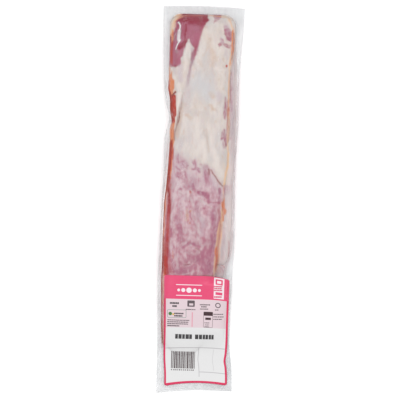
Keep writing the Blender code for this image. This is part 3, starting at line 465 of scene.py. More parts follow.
# Printed fields: colour, left, right, top, bottom, and where needed corner radius, outline, strength
LABEL_FIELDS = (
    ("label_pale", -1, 70, 24, 56.2),
    ("line_grey", 2.0, 66.0, 78.4, 79.4), ("line_grey", 37.4, 38.2, 79.0, 112.0),
    ("line_grey", 53.4, 54.0, 80.5, 104.0, 0.0, 0.0, 0.6), ("line_grey", 38.0, 66.0, 106.0, 106.9),
    ("ink_grey", 24.6, 32.4, 26.6, 33.4, 0.8), ("label_pale", 26.5, 30.8, 29.8, 32.0, 0.3),
    ("frame_green", 3.8, 23.4, 37.0, 45.4, 1.2, 0.25), ("leaf_green", 4.8, 8.6, 39.3, 43.1, 1.9),
    ("corn_yellow", 8.8, 10.8, 40.8, 42.8, 1.0), ("label_pink", 29.5, 30.4, 39.4, 55.4, 0.0, 0.0, 0.6),
    ("ink_brown", 42.0, 51.6, 38.6, 55.6, 0.6, 0.2, 0.8), ("ink_brown", 42.0, 51.6, 38.6, 42.8, 0.6),
    ("ink_brown", 43.8, 49.8, 44.8, 47.4, 0.3), ("ink_grey", 54.4, 59.2, 28.4, 33.2, 2.4, 0.5),
    ("label_pink", -1, 70, -1, 25.2), ("border_pink", -1, 2.0, 25, 121),
    ("border_pink", 66.0, 70, 25, 121), ("border_pink", -1, 70, 116.6, 121),
    ("ribbon", 52.0, 62.8, 1.0, 23.6, 0.3), ("label_pink", 53.6, 61.2, 2.6, 8.4, 0.5),
    ("ribbon", 55.2, 59.6, 4.1, 6.9, 0.3), ("label_pink", 53.8, 61.0, 16.4, 19.4, 0.3),
    *(("ribbon", at - half, at + half, DISC_LINE - half, DISC_LINE + half, half) for at, half in DISCS),
    ("ribbon", 12.6, 39.8, 9.5, 10.3, 0.4), ("ribbon", 12.6, 39.8, 20.9, 21.7, 0.4),
)

# Printed bars: left and right end, middle and height of each row, gap, and least and most width
PRINT_ROWS = {
    "ink": (
        (13.2, 31.0, 64.8, 5.0, 0.55, 2.2, 3.6), (34.4, 55.0, 64.8, 5.0, 0.55, 2.2, 3.6),
        (6.6, 16.2, 29.0, 1.9, 0.25, 1.0, 1.8), (9.3, 14.4, 32.2, 1.9, 0.25, 1.0, 1.8),
        (11.5, 21.5, 40.0, 1.5, 0.25, 0.9, 1.6), (11.5, 20.4, 42.6, 1.5, 0.25, 0.9, 1.6),
    ),
    "ink_grey": (
        (23.6, 34.4, 35.4, 1.0, 0.3, 0.8, 2.0), (38.5, 49.7, 30.0, 1.2, 0.3, 0.8, 2.0),
        (40.0, 45.8, 32.2, 1.2, 0.3, 0.8, 2.0), (38.9, 47.5, 34.6, 1.0, 0.3, 0.8, 2.0),
        (54.9, 58.8, 35.4, 1.0, 0.3, 0.8, 1.6), (53.4, 64.0, 40.0, 1.0, 0.4, 0.8, 2.2),
        (53.4, 64.4, 42.8, 1.0, 0.4, 0.8, 2.2), (53.4, 62.8, 45.4, 1.0, 0.4, 0.8, 2.2),
        (4.2, 27.8, 47.2, 0.9, 0.25, 0.8, 2.4), (4.2, 27.0, 49.2, 1.0, 0.25, 0.8, 2.4),
        (4.2, 26.5, 51.2, 1.0, 0.25, 0.8, 2.4), (4.3, 17.2, 53.4, 1.2, 0.2, 0.8, 2.4),
        (44.0, 49.4, 49.4, 0.9, 0.3, 0.8, 1.6), (44.6, 48.8, 51.6, 0.8, 0.3, 0.8, 1.6),
        (44.2, 49.0, 53.6, 0.8, 0.3, 0.8, 1.6), (9.6, 35.0, 101.2, 1.3, 1.0, 0.8, 1.3),
    ),
    "ink_brown": ((9.5, 34.8, 90.4, 18.4, 0.55, 0.4, 1.5),),
    "label_pink": (
        (53.2, 61.8, 10.3, 1.5, 0.2, 0.9, 1.9), (53.4, 61.4, 12.4, 1.4, 0.2, 0.9, 1.9),
        (53.2, 61.8, 14.4, 1.4, 0.2, 0.9, 1.9), (53.4, 61.6, 21.4, 1.7, 0.2, 0.9, 1.9),
    ),
}
SMALLEST_BAR = 0.25


def tint(red, green, blue):
    """A screen colour of 0 to 255 as scene-linear values."""
    shares = [value / 255 for value in (red, green, blue)]
    return tuple(s / 12.92 if s <= 0.04045 else ((s + 0.055) / 1.055) ** 2.4 for s in shares)


def seen(red, green, blue):
    """The surface colour that looks like a screen colour under the studio lights."""
    return tuple(value / STUDIO_LEVEL for value in tint(red, green, blue))


def number(name, description, default, **limits):
    return FloatProperty(name=name, description=description, default=default, **limits)


def length(name, description, default):
    return number(name, description, default, unit="LENGTH", subtype="DISTANCE")


def share(name, description, default):
    return number(name, description, default, min=0, max=1, subtype="FACTOR")


def as_is(*values):
    """A colour that is scene-linear already."""
    return values


def colour(name, description, default, convert=seen):
    return FloatVectorProperty(
        name=name, description=description, default=convert(*default), size=3, min=0, max=1, subtype="COLOR"
    )


class TENDERLOIN_PG_sizes(bpy.types.PropertyGroup):
    pouch_length: length("Pouch length", "Between the welded ends", 416.4 * MM)
    head_end: length("Head end", "Where the meat ends at the head", 199.3 * MM)
    tail_end: length("Tail end", "Where the meat ends at the tail", -167.0 * MM)
    strap_head: length("Strap head", "Where the side strap starts", 152.0 * MM)
    strap_tail: length("Strap tail", "Where the side strap ends", -69.0 * MM)
    strap_height: length("Strap height", "How far the side strap stands above the seam", 7.5 * MM)
    strap_tuck: length("Strap tuck", "How far the strap runs in under the main muscle", 6.0 * MM)
    film_gap: length("Film gap", "Room between the meat and the film", 0.25 * MM)
    margin: length("Margin thickness", "Both films together, outside the meat", 0.4 * MM)
    margin_slope: number("Margin slope", "Droop of the free film", 0.22)
    margin_wave: length("Margin wave", "How far the free film waves up and down", 0.7 * MM)
    flap_curl: length("Flap curl", "Rise of the corners at the tail", 2.6 * MM)
    wrinkle: length("Wrinkle height", "Height of the fine wrinkles in the film", 0.16 * MM)
    label_top: length("Label top", "Upper edge of the label", -80.5 * MM)
    label_bottom: length("Label bottom", "Lower edge of the label", -199.9 * MM)
    label_thickness: length("Label thickness", "Thickness of the label", 0.25 * MM)
    label_corner: length("Label corner", "Radius of the label's corners", 2.6 * MM)
    label_bow: length("Label bow", "How far the label's lower edge bows up", 2.8 * MM)
    label_skew: length("Label skew", "How far the label's lower edge rises to the right", 1.0 * MM)
    label_droop: length("Label droop", "How far the label's upper right corner droops", 3.6 * MM)
    grid: length("Grid", "Spacing of the fine mesh", 0.95 * MM)


class TENDERLOIN_PG_colours(bpy.types.PropertyGroup):
    fat_warm: colour("Warm fat", "Fat where it is thick", (216, 203, 194))
    fat_veiled: colour("Veiled fat", "Fat under a bluish skin", (204, 203, 206))
    fat_cool: colour("Cool fat", "Fat where the lean shows through", (206, 199, 197))
    cream: colour("Cream fat", "Brightest fat", (226, 216, 210))
    tan: colour("Tan spot", "Dried and stained spots", (206, 178, 160))
    lean: colour("Lean", "Lean at the head", (178, 112, 132))
    lean_bright: colour("Bright lean", "Lean at the head where it is redder", (168, 98, 114))
    # Also the painted shade beside the air pocket's fold at the head
    lean_deep: colour("Deep lean", "Darkest lean", (146, 48, 63))
    mauve: colour("Mauve lean", "Lean towards the tail", (188, 134, 147))
    mauve_deep: colour("Deep mauve lean", "Darker streaks towards the tail", (168, 104, 126))
    mauve_pale: colour("Pale mauve lean", "Lean under a thin skin", (214, 190, 195))
    lilac: colour("Lilac", "Lean just under the fat", (202, 187, 193))
    smoke: colour("Smoke", "Greyed lean along the fat", (166, 136, 145))
    strap: colour("Strap", "Skin over the side strap", (218, 203, 201))
    peach: colour("Palest juice", "Juice where it is a mere stain", (230, 192, 160))
    orange: colour("Thin juice", "Juice where it is thin", (220, 136, 94))
    rose: colour("Rose juice", "Juice that looks pink", (176, 72, 82))
    red: colour("Red juice", "Juice where it is deeper", (180, 58, 44))
    blood: colour("Deep juice", "Juice in the folds", (138, 34, 24))
    # Brown lines along the creases, also used for the painted shadow under the label's top edge
    brown: colour("Brown crease", "Stained creases", (142, 88, 80))
    film: colour("Film", "The film where it is milky", (245, 246, 248))
    # Painted highlight: near white mixed into the film along its raised air pockets, where they catch the
    # light
    film_painted_highlight: colour("Film gleam", "Film lifted by air", (0.97, 0.97, 0.97), as_is)
    film_stain: colour("Stained film", "The free film next to the meat", (200, 156, 158))
    label_pink: colour("Label pink", "Band of the label", (233, 72, 118))
    border_pink: colour("Border pink", "Border of the label", (222, 38, 90))
    label_pale: colour("Label pale pink", "Upper panel of the label", (230, 210, 216))
    label_white: colour("Label white", "Lower panel of the label", (232, 232, 232))
    ribbon: colour("Ribbon white", "Ribbon and marks in the band of the label", (249, 236, 241))
    line_grey: colour("Grey lines", "Lines between the fields", (196, 194, 196))
    frame_green: colour("Frame green", "Frame of the small sign", (132, 156, 146))
    leaf_green: colour("Leaf green", "Large dot in the small sign", (72, 122, 60))
    corn_yellow: colour("Corn yellow", "Small dot in the small sign", (226, 178, 40))
    worn: colour("Worn print", "Where print and paper are rubbed", (190, 184, 188))
    ink: colour("Ink", "Printed bars", (30, 28, 30))
    ink_grey: colour("Grey ink", "Fine printed rows", (96, 84, 88))
    ink_brown: colour("Brown ink", "Printed card", (62, 36, 40))
    floor: colour("Floor", "The floor", (254, 254, 254), tint)


class TENDERLOIN_PG_looks(bpy.types.PropertyGroup):
    margin_haze: share("Margin haze", "How milky the free film is", 0.46)
    strap_haze: share("Strap haze", "How milky the film over the side strap is", 0.12)
    meat_haze: share("Meat haze", "How milky the film over the meat is", 0.012)
    film_roughness: share("Film roughness", "Roughness of the film's gloss", 0.16)
    seed: IntProperty(name="Seed", description="Seed of every random draw", default=7)
    key_power: number("Key light", "Power of the large light", 7.6, unit="POWER")
    fill_power: number("Fill light", "Power of the light opposite", 7.4, unit="POWER")
    sky: number("Sky", "Strength of the even light all round", 0.84)
    camera_height: length("Camera height", "Height of the camera over the floor", 2.386)
    camera_roll: number("Camera roll", "Turn about the camera's axis", math.radians(1.64), subtype="ANGLE")


def settings():
    scene = bpy.context.scene
    return scene.tenderloin_sizes, scene.tenderloin_colours, scene.tenderloin_looks


# Shape of the pouch and the meat

DRAWN = 97  # heights drawn along each side of a field of bumps
POUCH_HALF_WIDTH = 44 * MM
SLOPE_POWERS = (6.0, 2.2)
SLOPE_SHARE = 0.92  # how far up the meat the film starts its slope down to the right


def smooth_line(stations, at):
    """Cubic line through stations given in millimetres, read at `at` in metres, in metres."""
    place, value = (np.array(column, float) * MM for column in zip(*stations))
    slope = np.gradient(value, place)
    at = np.clip(np.asarray(at, float), place[0], place[-1])
    i = np.clip(np.searchsorted(place, at, side="right") - 1, 0, len(place) - 2)
    step = place[i + 1] - place[i]
    t = (at - place[i]) / step
    start = (2 * t**3 - 3 * t**2 + 1) * value[i] + (t**3 - 2 * t**2 + t) * step * slope[i]
    end = (3 * t**2 - 2 * t**3) * value[i + 1] + (t**3 - t**2) * step * slope[i + 1]
    return start + end


def ease(t):
    t = np.clip(t, 0.0, 1.0)
    return t * t * (3 - 2 * t)


def rising(value, start, end):
    """0 at start to 1 at end, both in millimetres; falls where end is below start."""
    return ease((value / MM - start) / (end - start))


def smooth_max(a, b, blend):
    return (a + b + np.sqrt((a - b) ** 2 + blend**2) - blend) / 2


def fullness(x, y, left, right, head, tail, powers):
    """1 on the middle of a long rounded patch and 0 at its outline, squarer than an ellipse."""
    u = (2 * x - left - right) / (right - left)
    v = (2 * y - head - tail) / (head - tail)
    across = np.abs(u) ** np.where(u < 0, powers[0], powers[1])
    along = np.abs(v) ** np.where(v < 0, powers[3], powers[2])
    return np.clip(1 - across - along, 0, 1)


def path_distance(x, y, points):
    """Millimetres from each place (in metres) to a line through points in millimetres."""
    px, py = x / MM, y / MM
    points = [np.array(point[:2], float) for point in points]
    nearest = np.hypot(px - points[0][0], py - points[0][1])
    for a, b in zip(points, points[1:]):
        d = b - a
        t = np.clip(((px - a[0]) * d[0] + (py - a[1]) * d[1]) / max(d @ d, 1e-9), 0, 1)
        nearest = np.minimum(nearest, np.hypot(px - a[0] - t * d[0], py - a[1] - t * d[1]))
    return nearest


def inside_distance(x, y, outline):
    """Millimetres to an outline, positive inside it."""
    px, py = x / MM, y / MM
    crossings = np.zeros(x.shape, int)
    for (ax, ay), (bx, by) in zip(outline, outline[1:] + outline[:1]):
        if ay == by:
            continue
        meets = (ay > py) != (by > py)
        crossings += meets & (px < (bx - ax) * (py - ay) / (by - ay) + ax)
    away = path_distance(x, y, outline + outline[:1])
    return np.where(crossings % 2 == 1, away, -away)


def mark_strength(x, y, marks):
    """0 to 1: the strongest of the marks at each place. A point can say its share of the strength."""
    px, py = x / MM, y / MM
    total = np.zeros(x.shape)
    for *points, half_width, softness, strength in marks:
        rows = [(*point, 1.0)[:3] for point in points]
        for (ax, ay, a_share), (bx, by, b_share) in zip(rows, rows[1:] or rows):
            dx, dy = bx - ax, by - ay
            t = np.clip(((px - ax) * dx + (py - ay) * dy) / max(dx * dx + dy * dy, 1e-9), 0, 1)
            away = np.hypot(px - ax - t * dx, py - ay - t * dy)
            local = strength * (a_share + (b_share - a_share) * t)
            total = np.maximum(total, local * ease(0.5 + (half_width - away) / softness))
    return total


def bumps(x, y, size, seed):
    """Smooth unevenness from -1 to 1 whose humps are about `size` (x, y) millimetres across."""
    draw = np.random.RandomState(seed).uniform(-1, 1, (DRAWN, DRAWN))
    gx, gy = x / MM / size[0] + 40.3, y / MM / size[1] + 41.7
    ix, iy = np.floor(gx).astype(int), np.floor(gy).astype(int)
    fx, fy = ease(gx - ix), ease(gy - iy)

    def corner(dx, dy):
        return draw[(ix + dx) % DRAWN, (iy + dy) % DRAWN]

    low = corner(0, 0) * (1 - fx) + corner(1, 0) * fx
    high = corner(0, 1) * (1 - fx) + corner(1, 1) * fx
    return low * (1 - fy) + high * fy


def relief(x, y):
    """Furrows and swellings of the meat."""
    change = np.zeros_like(x)
    for start, end, depth, half_width in FURROWS:
        change -= depth * MM * np.exp(-((path_distance(x, y, (start, end)) / half_width) ** 2))
    for middle, height, radius in SWELLINGS:
        change += height * MM * np.exp(-((path_distance(x, y, (middle,)) / radius) ** 2))
    return change


def free_film(x, y):
    """Height of the middle of the welded film."""
    size = settings()[0]
    left, right = smooth_line(MEAT_LEFT, y), smooth_line(STRAP_EDGE, y)
    beyond_left, beyond_right = np.clip(left - x, 0, None), np.clip(x - right, 0, None)
    film = smooth_line(SEAM, y) - size.margin_slope * (beyond_left + beyond_right)
    for beyond, wave_length, phase in ((beyond_left, 37 * MM, 0.0), (beyond_right, 45 * MM, 1.0)):
        wave = np.sin(2 * np.pi * y / wave_length + phase)
        film = film + size.margin_wave * wave * rising(beyond, 0, 5)
    outwards = (x / POUCH_HALF_WIDTH) ** 2
    film = film + size.flap_curl * outwards * rising(y, -172, -202)
    return np.maximum(film, LOWEST_SEAM)


def label_slope(x, y):
    """0 to 1: film and label that span from the main muscle's shoulder down to the right margin."""
    size = settings()[0]
    left, right = smooth_line(MEAT_LEFT, y), smooth_line(STRAP_EDGE, y)
    u = np.clip((2 * x - left - right) / (right - left), -1, 1)
    across = np.sqrt(np.clip(1 - np.abs(u) ** np.where(u < 0, *SLOPE_POWERS), 0, 1))
    along = ease((size.label_top + 6 * MM - y) / (16 * MM)) * ease((y - size.tail_end) / (30 * MM))
    return across * along


def meat_outline(y):
    """x of the left and right edge of the meat, drawn in at the corners of the head and the tail."""
    size = settings()[0]
    edges = []
    for side, line, sign in (("left", MEAT_LEFT, 1), ("right", MEAT_RIGHT, -1)):
        edge = smooth_line(line, y)
        for radius, past in zip(CORNER_RADIUS[side], (y - size.head_end, size.tail_end - y)):
            radius = radius * MM
            near = np.clip(past + radius, 0, radius)
            edge = edge + sign * (radius - np.sqrt(radius**2 - near**2))
        edges.append(edge)
    return edges


def belly(x, y):
    """1 where the pack lies flat on the floor, 0 under its margins."""
    size = settings()[0]
    left, right = smooth_line(MEAT_LEFT, y), smooth_line(BELLY_RIGHT, y)
    return ease(fullness(x, y, left, right, size.head_end, size.tail_end, BELLY_POWERS) / BELLY_ROUNDING)


def meat_rise(x, y):
    """How far the meat stands above the seam of the pouch."""
    size = settings()[0]
    crease, outline = smooth_line(CREASE, y), meat_outline(y)
    right = np.minimum(crease + LOBE_BLEND, outline[1])
    main = fullness(x, y, outline[0], right, size.head_end, size.tail_end, MAIN_POWERS)
    strap_left, strap_right = crease - size.strap_tuck, smooth_line(STRAP_EDGE, y)
    strap = fullness(x, y, strap_left, strap_right, size.strap_head, size.strap_tail, STRAP_POWERS)
    rise = (smooth_line(CREST, y) - smooth_line(SEAM, y) + relief(x, y)) * np.sqrt(main)
    return np.maximum(smooth_max(rise, size.strap_height * np.sqrt(strap), LOBE_BLEND), 0)


def film_heights(x, y):
    """Heights of the upper and the lower film."""
    size = settings()[0]
    film = free_film(x, y)
    crest, seam = smooth_line(CREST, y), smooth_line(SEAM, y)
    rise = smooth_max(meat_rise(x, y), SLOPE_SHARE * (crest - seam) * label_slope(x, y), LOBE_BLEND)
    half = size.margin / 2
    lift = (FILM_STAND - half) * rising(rise, 0, 2)
    upper = film + half + lift + np.maximum(rise, 0)
    lower = (film - half) * (1 - belly(x, y)) + FLOOR_ROOM
    return upper, lower


def meat_heights(x, y):
    """Heights of the upper and the lower face of the meat, just inside the films."""
    size = settings()[0]
    film = free_film(x, y)
    upper = film + FILM_STAND + meat_rise(x, y) - size.film_gap
    lower = (film - FILM_STAND) * (1 - belly(x, y)) + FLOOR_ROOM + size.film_gap
    return np.maximum(upper, lower + 0.05 * MM), lower


def film_folds(x, y):
    """Heights of folds and fine wrinkles that the film has and the meat hasn't."""
    size, _, look = settings()
    height = np.zeros_like(x)
    for *points, half_width, softness, _, rise in AIR_POCKETS_AND_HIGHLIGHTS:
        swell = 0.5 + (half_width + 0.5 - path_distance(x, y, points)) / (softness + 1.0)
        height = np.maximum(height, rise * MM * ease(swell))
    fine = bumps(x, y, (1.7, 9.0), look.seed) + 0.7 * bumps(x + 0.3 * y, y, (2.3, 6.0), look.seed + 1)
    return height + size.wrinkle * (0.6 + 0.4 * fine)


# Meshes

INNER = (slice(1, -1), slice(1, -1))  # all of a grid but its rim
MEAT_COLUMNS = 96
FILM_COLUMNS = 90


def closed_shell(name, x, y, upper, lower):
    """Two sheets over one grid that share their rim: the mesh, its points and which of them are upper."""
    rows, columns = x.shape
    rim = np.ones((rows, columns), bool)
    rim[INNER] = False
    z_top = np.where(rim, (upper + lower) / 2, upper)
    top = np.arange(rows * columns).reshape(rows, columns)
    under = top.copy()
    under[INNER] = rows * columns + np.arange(under[INNER].size).reshape(under[INNER].shape)
    points = np.concatenate([
        np.stack([x, y, z_top], -1).reshape(-1, 3),
        np.stack([x[INNER], y[INNER], lower[INNER]], -1).reshape(-1, 3),
    ])

    def quads(index, turn):
        corners = [index[:-1, :-1], index[:-1, 1:], index[1:, 1:], index[1:, :-1]]
        return np.stack(corners[::turn], -1).reshape(-1, 4)

    faces = np.concatenate([quads(top, 1), quads(under, -1)])
    mesh = bpy.data.meshes.new(name)
    mesh.vertices.add(len(points))
    mesh.vertices.foreach_set("co", points.astype(np.float32).ravel())
    mesh.loops.add(faces.size)
    mesh.loops.foreach_set("vertex_index", faces.astype(np.int32).ravel())
    mesh.polygons.add(len(faces))
    mesh.polygons.foreach_set("loop_start", np.arange(0, faces.size, 4, dtype=np.int32))
    mesh.update(calc_edges=True)
    mesh.validate()
    mesh.shade_smooth()
    return mesh, points, np.arange(len(points)) < rows * columns


def add_values(mesh, name, values):
    made = mesh.attributes.new(name, "FLOAT", "POINT")
    made.data.foreach_set("value", np.asarray(values, np.float32).ravel())


def add_object(name, data):
    made = bpy.data.objects.new(name, data)
    bpy.context.scene.collection.objects.link(made)
    return made


def finish_piece(name, mesh, material, node=None):
    """Puts a finished mesh in the scene on the body, in place of a solid where one is named."""
    piece = add_object(name, mesh)
    mesh.materials.clear()
    mesh.materials.append(material)
    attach(piece, "root")
    if node:
        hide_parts(node)
    return piece


def eased_steps(count, sharpness):
    """0 to 1 in count steps, closer together at both ends."""
    even = np.linspace(0, 1, count + 1)
    return (1 - sharpness) * even + sharpness * (1 - np.cos(np.pi * even)) / 2


def pouch_columns(y):
    """x of each column over the pouch at each y: the free film, the meat and the free film again."""
    lines = [smooth_line(line, y)[:, None] for line in (POUCH_LEFT, MEAT_LEFT, STRAP_EDGE, POUCH_RIGHT)]
    free = np.concatenate([[0.0, 0.025], np.linspace(0.12, 1, 8)])
    strips = (free, eased_steps(FILM_COLUMNS, 0.35), 1 - free[::-1])
    places = [lines[0]]
    for start, end, steps in zip(lines, lines[1:], strips):
        places.append(start + (end - start) * steps[1:])
    return np.concatenate(places, axis=1)


def end_shape(across, y):
    """How far the welded ends pull in from a straight cut."""
    size = settings()[0]
    half = size.pouch_length / 2
    bow, skew, reach = (value * MM for value in END_SHAPE["head"])
    head = (-bow * across**2 - skew * (across + across**2) / 2) * ease(1 + (y - half) / reach)
    bow, skew, reach = (value * MM for value in END_SHAPE["tail"])
    tail = (bow * (1 - across**2) + skew * (across + across**2) / 2) * ease(1 - (y + half) / reach)
    return head + tail


# Nodes


def set_inputs(tree, node, inputs):
    """Sets a node's inputs to values, or links sockets to them."""
    for key, value in inputs.items():
        if isinstance(value, bpy.types.NodeSocket):
            tree.links.new(value, node.inputs[key])
        else:
            node.inputs[key].default_value = value


def put(tree, kind, inputs=None, **features):
    """A new node with its features and inputs set."""
    made = tree.nodes.new(kind)
    for name, value in features.items():
        setattr(made, name, value)
    set_inputs(tree, made, inputs or {})
    return made


def calc(tree, operation, *values, clamp=False):
    made = put(tree, "ShaderNodeMath", dict(enumerate(values)), operation=operation, use_clamp=clamp)
    return made.outputs[0]


def vector(tree, operation, *values):
    return put(tree, "ShaderNodeVectorMath", dict(enumerate(values)), operation=operation).outputs[0]


def combined(tree, x, y, z):
    return put(tree, "ShaderNodeCombineXYZ", {0: x, 1: y, 2: z}).outputs[0]


def separated(tree, place):
    return put(tree, "ShaderNodeSeparateXYZ", {0: place}).outputs


def ramp(tree, value, low, high):
    """0 at low to 1 at high, with soft ends."""
    made = put(tree, "ShaderNodeMapRange", {0: value, 1: low, 2: high}, interpolation_type="SMOOTHSTEP")
    return made.outputs[0]


def noise(tree, place, per_mm, detail):
    made = put(tree, "ShaderNodeTexNoise", {"Vector": place, "Scale": per_mm, "Detail": detail})
    return made.outputs["Fac"]


def mixed(tree, factor, a, b):
    """Colour b over colour a; colours are sockets or triples."""
    a, b = (value if isinstance(value, bpy.types.NodeSocket) else (*value, 1.0) for value in (a, b))
    made = put(tree, "ShaderNodeMix", {0: factor, 6: a, 7: b}, data_type="RGBA", clamp_factor=True)
    return made.outputs[2]


def new_group(name, family, inputs, outputs):
    """A node group and its two ends. Inputs and outputs are (name, kind) or (name, kind, default)."""
    group = bpy.data.node_groups.new(name, family)
    for in_out, rows in (("INPUT", inputs), ("OUTPUT", outputs)):
        for label, kind, *default in rows:
            socket = group.interface.new_socket(label, in_out=in_out, socket_type=f"NodeSocket{kind}")
            if default:
                socket.default_value = default[0]
    return group, group.nodes.new("NodeGroupInput").outputs, group.nodes.new("NodeGroupOutput").inputs


# Shader groups


def make_mottle():
    """Cloudy patches from 0 to 1."""
    group, given, result = new_group(
        "mottle", "ShaderNodeTree",
        [("Place", "Vector"), ("Stretch", "Vector", (1, 1, 1)), ("Per mm", "Float", 0.2),
         ("Detail", "Float", 3.0), ("Low", "Float", 0.35), ("High", "Float", 0.65)],
        [("Amount", "Float")],
    )
    place = vector(group, "MULTIPLY", given["Place"], given["Stretch"])
    patches = noise(group, place, given["Per mm"], given["Detail"])
    group.links.new(ramp(group, patches, given["Low"], given["High"]), result["Amount"])


def make_ragged_edge():
    """0 to 1 over the wandering edge of a region that is given as distances."""
    group, given, result = new_group(
        "ragged_edge", "ShaderNodeTree",
        [("Distance", "Float", 0.0), ("Place", "Vector"), ("Per mm", "Float", 0.3),
         ("Raggedness", "Float", 1.5), ("Softness", "Float", 1.0)],
        [("Mask", "Float")],
    )
    wander = calc(group, "SUBTRACT", noise(group, given["Place"], given["Per mm"], 4.0), 0.5)
    shift = calc(group, "MULTIPLY", wander, given["Raggedness"])
    moved = calc(group, "MULTIPLY_ADD", shift, 2.0, given["Distance"])
    scaled = calc(group, "DIVIDE", moved, given["Softness"])
    group.links.new(ramp(group, scaled, -1.0, 1.0), result["Mask"])


def make_box_mask():
    """1 in a box with round corners, or along its edge where Outline is above 0."""
    group, given, result = new_group(
        "box_mask", "ShaderNodeTree",
        [("Place", "Vector"), ("Middle", "Vector", (0, 0, 0)), ("Half size", "Vector", (1, 1, 0)),
         ("Corner", "Float", 0.0), ("Outline", "Float", 0.0)],
        [("Mask", "Float")],
    )
    away = vector(group, "ABSOLUTE", vector(group, "SUBTRACT", given["Place"], given["Middle"]))
    round_off = combined(group, given["Corner"], given["Corner"], 0.0)
    core = vector(group, "SUBTRACT", given["Half size"], round_off)
    past = vector(group, "SUBTRACT", away, core)
    flat = vector(group, "MULTIPLY", vector(group, "MAXIMUM", past, (0, 0, 0)), (1, 1, 0))
    outside = put(group, "ShaderNodeVectorMath", {0: flat}, operation="LENGTH").outputs["Value"]
    parts = separated(group, past)
    inside = calc(group, "MINIMUM", calc(group, "MAXIMUM", parts[0], parts[1]), 0.0)
    distance = calc(group, "SUBTRACT", calc(group, "ADD", outside, inside), given["Corner"])
    hollow = calc(group, "SUBTRACT", calc(group, "ABSOLUTE", distance), given["Outline"])
    is_outline = calc(group, "GREATER_THAN", given["Outline"], 0.0)
    chosen = put(group, "ShaderNodeMix", {0: is_outline, 2: distance, 3: hollow}, data_type="FLOAT")
    mask = put(group, "ShaderNodeMapRange", {0: chosen.outputs[0], 1: PRINT_BLUR, 2: -PRINT_BLUR})
    group.links.new(mask.outputs[0], result["Mask"])


def make_wet_skin():
    """Uneven roughness and the fine relief that goes with it."""
    group, given, result = new_group(
        "wet_skin", "ShaderNodeTree",
        [("Place", "Vector"), ("Per mm", "Float", 0.5), ("Stretch", "Vector", (1, 1, 1)),
         ("Roughness", "Float", 0.3), ("Spread", "Float", 0.2)],
        [("Roughness", "Float"), ("Height", "Float")],
    )
    place = vector(group, "MULTIPLY", given["Place"], given["Stretch"])
    height = noise(group, place, given["Per mm"], 5.0)
    change = calc(group, "MULTIPLY", calc(group, "SUBTRACT", height, 0.5), given["Spread"])
    group.links.new(calc(group, "ADD", given["Roughness"], change, clamp=True), result["Roughness"])
    group.links.new(height, result["Height"])


def use_group(tree, name, **inputs):
    made = put(tree, "ShaderNodeGroup", node_tree=bpy.data.node_groups[name])
    set_inputs(tree, made, {label.replace("_", " "): value for label, value in inputs.items()})
    return made.outputs


# Materials


def new_material(name):
    """A material with an output, a Principled shader and the Object place in millimetres."""
    material = bpy.data.materials.new(name)
    material.use_nodes = True
    tree = material.node_tree
    tree.nodes.clear()
    output = tree.nodes.new("ShaderNodeOutputMaterial")
    shader = tree.nodes.new("ShaderNodeBsdfPrincipled")
    tree.links.new(shader.outputs[0], output.inputs["Surface"])
    metres = put(tree, "ShaderNodeTexCoord").outputs["Object"]
    place = put(tree, "ShaderNodeVectorMath", {0: metres, "Scale": 1 / MM}, operation="SCALE")
    return material, tree, shader, output, place.outputs[0]


def attribute(tree, name):
    return put(tree, "ShaderNodeAttribute", attribute_name=name).outputs["Fac"]


def mottle(tree, place, per_mm, stretch=1.0, detail=3.0, low=0.35, high=0.65):
    """Cloudy patches from 0 to 1, drawn out along the meat where stretch is below 1."""
    return use_group(
        tree, "mottle", Place=place, Per_mm=per_mm, Stretch=(1, stretch, 1), Detail=detail, Low=low, High=high
    )["Amount"]


def wet_look(tree, strength, relief_mm, fibres=None, **inputs):
    """Shader inputs of a moist or glossy skin: its roughness and its fine relief."""
    wet = use_group(tree, "wet_skin", **inputs)
    height = wet["Height"]
    if fibres is not None:
        height = calc(tree, "MULTIPLY_ADD", fibres, 0.6, height)
    bump = put(tree, "ShaderNodeBump", {"Height": height, "Strength": strength, "Distance": relief_mm * MM})
    return {"Roughness": wet["Roughness"], "Normal": bump.outputs[0]}


